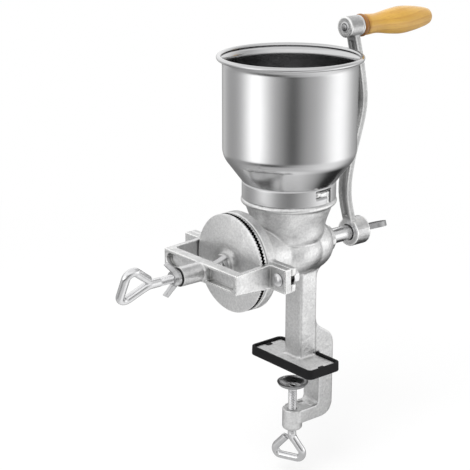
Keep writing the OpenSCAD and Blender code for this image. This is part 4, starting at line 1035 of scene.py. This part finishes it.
# %% Spindle and washer
HUB_X, HUB_END, RIVET_EDGE, PIN_R, PIN_HEAD, PIN_END = 74.5, 92.9, 5.8, 4.2, 193.1, 196.1
rivet = rounded([(0, -1.7), (2.9, -1.5), (3.1, -0.35), (5.6, -0.35), (RIVET_EDGE, 0)],
                (0, 0.9, 0.2, 0.2, 0), 4)
pin = rounded([(RIVET_EDGE, HUB_X), (PIN_R, HUB_X), (PIN_R, PIN_HEAD), (6.5, PIN_HEAD), (6.2, PIN_END),
               (0, PIN_END)], (0, 0, 0, 0.4, 0.8, 0), 4)
spindle_line = np.vstack([rivet + (0, HUB_X), pin])
spindle = new_piece("spindle_riveted", [turned(spindle_line, "X", (0, 0, GRIP_Z), 64)], 35)
dress(spindle, "rotor", "plated", pin_plate, "handle_spindle")
thin_washer = ring(washer_line(HUB_END, HUB_END + 1.5, GRIP_BORE, 11.0), "X", (0, 0, GRIP_Z), 80)
grip_washer = new_piece("grip_washer_plain", [thin_washer], 25)
dress(grip_washer, "rotor", "plated", zinc_plate, "grip_washer")

# %% [markdown]
# ## Rubber pad
#
# The pad is a shallow rubber tray under the foot plate, with two tabs that hook into the plate. A cube with
# Bevel would have one radius for all edges. Here the tray's section is carried round a rectangle with
# rounded corners, which is the outline moved in or out by the section's own offset.

# %% Foot pad
PLATE_MID, PLATE_L, PLATE_W, PLATE_R, WALL, FIT = 11.5, 39.0, 91.0, 3.5, 3.2, 0.35
PAD_TOP, PAD_FLOOR, TAB_HALF, TAB_LOW, TAB_TOP = 10.3, 2.45, 3.5, 2.2, 8.3


def outline(offset, steps=18):
    """A rounded rectangle moved outwards by offset: four arcs whose radius grows with it, joined by straight
    sides. Returns points in X and Y."""
    offset = np.asarray(offset, float)[:, None]
    radius = np.maximum(PLATE_R + offset, 0)
    quarter = np.linspace(0, np.pi / 2, steps)
    angle = np.concatenate([quarter + k * np.pi / 2 for k in range(4)])
    sign_x = np.repeat([1, -1, -1, 1], steps)
    sign_y = np.repeat([1, 1, -1, -1], steps)
    x = PLATE_MID + sign_x * (PLATE_L / 2 + offset - radius) + radius * np.cos(angle)
    y = sign_y * (PLATE_W / 2 + offset - radius) + radius * np.sin(angle)
    return x, y


def tab(side):
    """A tab on one side: a rounded upright section carried from the pad's wall to over the plate."""
    half = rounded([(0, TAB_LOW), (TAB_HALF, TAB_LOW), (TAB_HALF, TAB_TOP), (0, TAB_TOP)], (0, 0, 0.7, 0), 4)
    loop = np.vstack([half, half[::-1] * (-1, 1)])
    reach = side * np.linspace(PLATE_W / 2 - 5, PLATE_W / 2 + FIT + WALL / 2, 4)[:, None]
    body = np.stack(np.broadcast_arrays(PLATE_MID + loop[:, 0], reach, loop[:, 1]), -1)
    middle = body.mean(1, keepdims=True) + np.zeros_like(body)
    return shell(np.concatenate([middle[:1], body, middle[-1:]]))


out = WALL + FIT
section = rounded([(-PLATE_L / 2, 0), (out, 0), (out - 0.25, PAD_TOP), (FIT, PAD_TOP), (FIT, PAD_FLOOR),
                   (-PLATE_L / 2, PAD_FLOOR)], (0, 1.1, 0.8, 0.8, 0.5, 0), 4)
tray = shell(np.stack(np.broadcast_arrays(*outline(section[:, 0]), section[:, 1:]), -1))
pad = new_piece("pad_moulded", [tray, tab(-1), tab(1)], 40)
dress(pad, "stand", "pad", rubber, "foot_pad")

# %% [markdown]
# Three pieces stay as the CAD made them, because they are shut up inside the mill: the pin and the ball
# behind the turning burr and the two countersunk screws. They get the plated finish.

# %% Hidden hardware
HIDDEN = ("drive_pin", "thrust_ball", "burr_screws")
for node in HIDDEN:
    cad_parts[node].data.materials.clear()
    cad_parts[node].data.materials.append(zinc_plate)
print("kept from the CAD:", HIDDEN)

# %% [markdown]
# ## Studio
#
# The background is white. A very bright lamp would bleach the mill as well, so floor and air show white to
# the camera and to reflections, and send out ordinary light otherwise. Near the mill the floor keeps a
# share of its own shading, and with it the mill's shadow. It lies a little further below the mill than the
# clamp's eye goes down when the clamp is opened.

# %% Floor
FLOOR_DROP, FLOOR_HALF, WHITE = 23, 9000, (1, 1, 1, 1)
SHADOW_NEAR, SHADOW_FAR, WHITE_NEAR = 0.3, 1.2, 0.70


def looked_at(tree):
    """1 for rays from the camera, from a reflection or through glass."""
    path = add(tree, "ShaderNodeLightPath", {}).outputs
    either = maths(tree, "MAXIMUM", path["Is Camera Ray"], path["Is Glossy Ray"])
    return maths(tree, "MAXIMUM", either, path["Is Transmission Ray"])


def surface(tree, shader, output="Material Output"):
    """Makes a shader what the material, or the world, shows."""
    feed(tree, tree.nodes[output], {"Surface": shader})


side = np.linspace(-FLOOR_HALF, FLOOR_HALF, 3)
floor_z = cad_box[0][2] / MM - FLOOR_DROP
floor_points = np.stack(np.meshgrid(side, side, [floor_z], indexing="ij"), -1)[:, :, 0]
floor = new_piece("floor", [shell(floor_points, False, False)])
floor_paint, tree, shader = new_material("pale_floor")
tree.nodes.remove(shader)
away = vectors(tree, "LENGTH", object_place(tree, (1, 1, 0)))
far = ramp(tree, away, SHADOW_NEAR, SHADOW_FAR, WHITE_NEAR, 1.0)
shown = maths(tree, "MULTIPLY", looked_at(tree), far)
matt = add(tree, "ShaderNodeBsdfDiffuse", {"Color": grey(0.95)}).outputs[0]
white = add(tree, "ShaderNodeEmission", {"Color": WHITE, "Strength": 1.0}).outputs[0]
surface(tree, add(tree, "ShaderNodeMixShader", {0: shown, 1: matt, 2: white}).outputs[0])
floor.data.materials.append(floor_paint)
print("floor at", round(floor_z, 1), "mm")

# %% [markdown]
# The air is the world's background. One strength for all rays would be too dark behind the mill or too
# bright on it, so the air is white where it is looked at, and about half as bright where it lights the mill.

# %% Air
SOFT_LIGHT = 0.55
world = bpy.data.worlds.new("studio_air")
scene.world = world
world.use_nodes = True
tree = world.node_tree
soft = tree.nodes["Background"]
feed(tree, soft, {"Color": WHITE, "Strength": SOFT_LIGHT})
bright = add(tree, "ShaderNodeBackground", {"Color": WHITE, "Strength": 1.0}).outputs[0]
air = add(tree, "ShaderNodeMixShader", {0: looked_at(tree), 1: soft.outputs[0], 2: bright}).outputs[0]
surface(tree, air, "World Output")
print("air:", world.name, "at", SOFT_LIGHT)

# %% [markdown]
# Bright metal shows its surroundings, so a studio puts white and dark screens round it. Separate boards
# would leave gaps, so here one bowl stands round the mill, for reflections only. Angles start towards the
# camera and grow to its right. The wall is grey with two tall lights, a dim strip where the camera stands
# and a dark one behind the mill, which draws the dark outlines.

# %% Reflection bowl
TOWARD, RIGHTWARD = np.array([-0.666, -0.746]), np.array([0.772, -0.635])
BOWL_FAR, BOWL_HIGH, BOWL_BEND, BOWL_LIFT = 750.0, 1150.0, 90, 2
bowl_angle = np.radians(np.linspace(-180, 180, 181))[:-1]
flat = np.stack([np.linspace(1, BOWL_FAR - BOWL_BEND, 23), np.zeros(23)], 1)
curve = np.linspace(-math.pi / 2, 0, 9)[1:]
corner = np.stack([BOWL_FAR - BOWL_BEND * (1 - np.cos(curve)), BOWL_BEND * (1 + np.sin(curve))], 1)
wall = np.stack([np.full(18, BOWL_FAR), np.linspace(BOWL_BEND, BOWL_HIGH, 19)[1:]], 1)
bowl_r, bowl_h = np.vstack([flat, corner, wall]).T[..., None]
around = np.cos(bowl_angle)[:, None] * TOWARD + np.sin(bowl_angle)[:, None] * RIGHTWARD
place = bowl_r[..., None] * around
height = bowl_h + cad_box[0][2] / MM + BOWL_LIFT + np.zeros(len(bowl_angle))
screen = new_piece("reflection_bowl", [shell(np.concatenate([place, height[..., None]], -1))])

# %% [markdown]
# How bright each place of the bowl is could be painted as a picture. It is a sum of smooth humps instead, as
# in the tables: amount, centre and width in degrees, and for the floor the distances where a hump begins and
# where it is full. The sum is stored on the bowl's points, and the material turns it into light.

# %% Bowl light
WALL_GLOW, UPPER_GLOW, FLOOR_GLOW, LEAST_GLOW = 0.52, 1.20, 0.70, 0.02
WALL_HUMPS = ((1.50, -58, 17), (1.28, 85, 22), (-0.37, 5, 12), (0.28, -145, 12), (-0.45, 180, 18))
FLOOR_HUMPS = ((0.58, 82, 34, 200, 420), (-0.60, -35, 30, 480, 600), (-0.50, 180, 42, 40, 120),
               (-0.20, 132, 24, 140, 260), (-0.12, -122, 22, 380, 460),
               (0.45, 0, 55, 40, 100), (-0.45, 0, 55, 220, 320))
SHADE, SHADE_AT, SHADE_WIDTH = 0.56, 200 * (RIGHTWARD - TOWARD), 150
UPPER_DIM, UPPER_DIM_AT, UPPER_DIM_WIDTH = 0.55, 90, 32
UPPER_FROM, UPPER_FULL, WALL_FROM, WALL_FULL = 300, 560, 30, 120


def lobe(centre, width):
    """A smooth hump of the angle: 1 at its centre, falling as a bell curve of the given width in degrees."""
    away = (bowl_angle - math.radians(centre) + np.pi) % (2 * np.pi) - np.pi
    return np.exp(-0.5 * (away / math.radians(width)) ** 2)


def ease(low, high, value):
    """0 below low, 1 above high, and a smooth cubic step between them."""
    t = np.clip((value - low) / (high - low), 0, 1)
    return t * t * (3 - 2 * t)


low_wall = WALL_GLOW + sum(amount * lobe(centre, width) for amount, centre, width in WALL_HUMPS)
high_wall = UPPER_GLOW - UPPER_DIM * lobe(UPPER_DIM_AT, UPPER_DIM_WIDTH)
wall_glow = low_wall + (high_wall - low_wall) * ease(UPPER_FROM, UPPER_FULL, bowl_h)
floor_glow = FLOOR_GLOW - SHADE * np.exp(-0.5 * ((place - SHADE_AT) ** 2).sum(-1) / SHADE_WIDTH ** 2)
for amount, centre, width, begins, full in FLOOR_HUMPS:
    floor_glow = floor_glow + amount * lobe(centre, width) * ease(begins, full, bowl_r)
glow = floor_glow + (wall_glow - floor_glow) * ease(WALL_FROM, WALL_FULL, bowl_h)
glow = np.maximum(glow, LEAST_GLOW).astype(np.float32)
screen.data.attributes.new("glow", "FLOAT", "POINT").data.foreach_set("value", glow.ravel())
screen_light, tree, shader = new_material("bowl_glow")
tree.nodes.remove(shader)
strength = add(tree, "ShaderNodeAttribute", {}, attribute_name="glow").outputs["Fac"]
surface(tree, add(tree, "ShaderNodeEmission", {"Color": WHITE, "Strength": strength}).outputs[0])
screen.data.materials.append(screen_light)
for ray in ("camera", "diffuse", "shadow", "transmission", "volume_scatter"):
    setattr(screen, "visible_" + ray, False)
print("glow from", round(float(glow.min()), 2), "to", round(float(glow.max()), 2))

# %% [markdown]
# The bowl lights what shines. Wood, rubber and floor are matt, and three large soft lamps light those: a key
# over the camera's left, a weak fill at its right and one from above. A lamp that metal could mirror would
# burn a white square into it, so the lamps are hidden from reflections.

# %% Lamps
LAMP_AIM = (0, 0, 0.15)
LAMPS = (("key", (-1.2, -0.5, 1.9), 1.1, 30), ("fill", (1.5, -1.2, 0.9), 1.0, 8),
         ("top", (0.3, 0.6, 2.2), 1.4, 14))


def soft_lamp(name, place, size, power):
    """A square area lamp at a place in metres that faces the mill."""
    data = bpy.data.lights.new(name, "AREA")
    data.shape = "SQUARE"
    data.size = size
    data.energy = power
    lamp = bpy.data.objects.new(name, data)
    back = np.array(place, float) - np.array(LAMP_AIM, float)
    back /= np.linalg.norm(back)
    side = np.cross((0, 0, 1), back)
    side /= np.linalg.norm(side)
    aim = Matrix(np.column_stack([side, np.cross(back, side), back]).tolist())
    lamp.matrix_world = Matrix.Translation(place) @ aim.to_4x4()
    lamp.visible_glossy = False
    scene.collection.objects.link(lamp)


for lamp in LAMPS:
    soft_lamp(*lamp)
print("lamps:", [name for name, _, _, _ in LAMPS])

# %% [markdown]
# ## View transform
#
# The render keeps every colour as it is written: the view transform is Standard.

scene.view_settings.view_transform = "Standard"
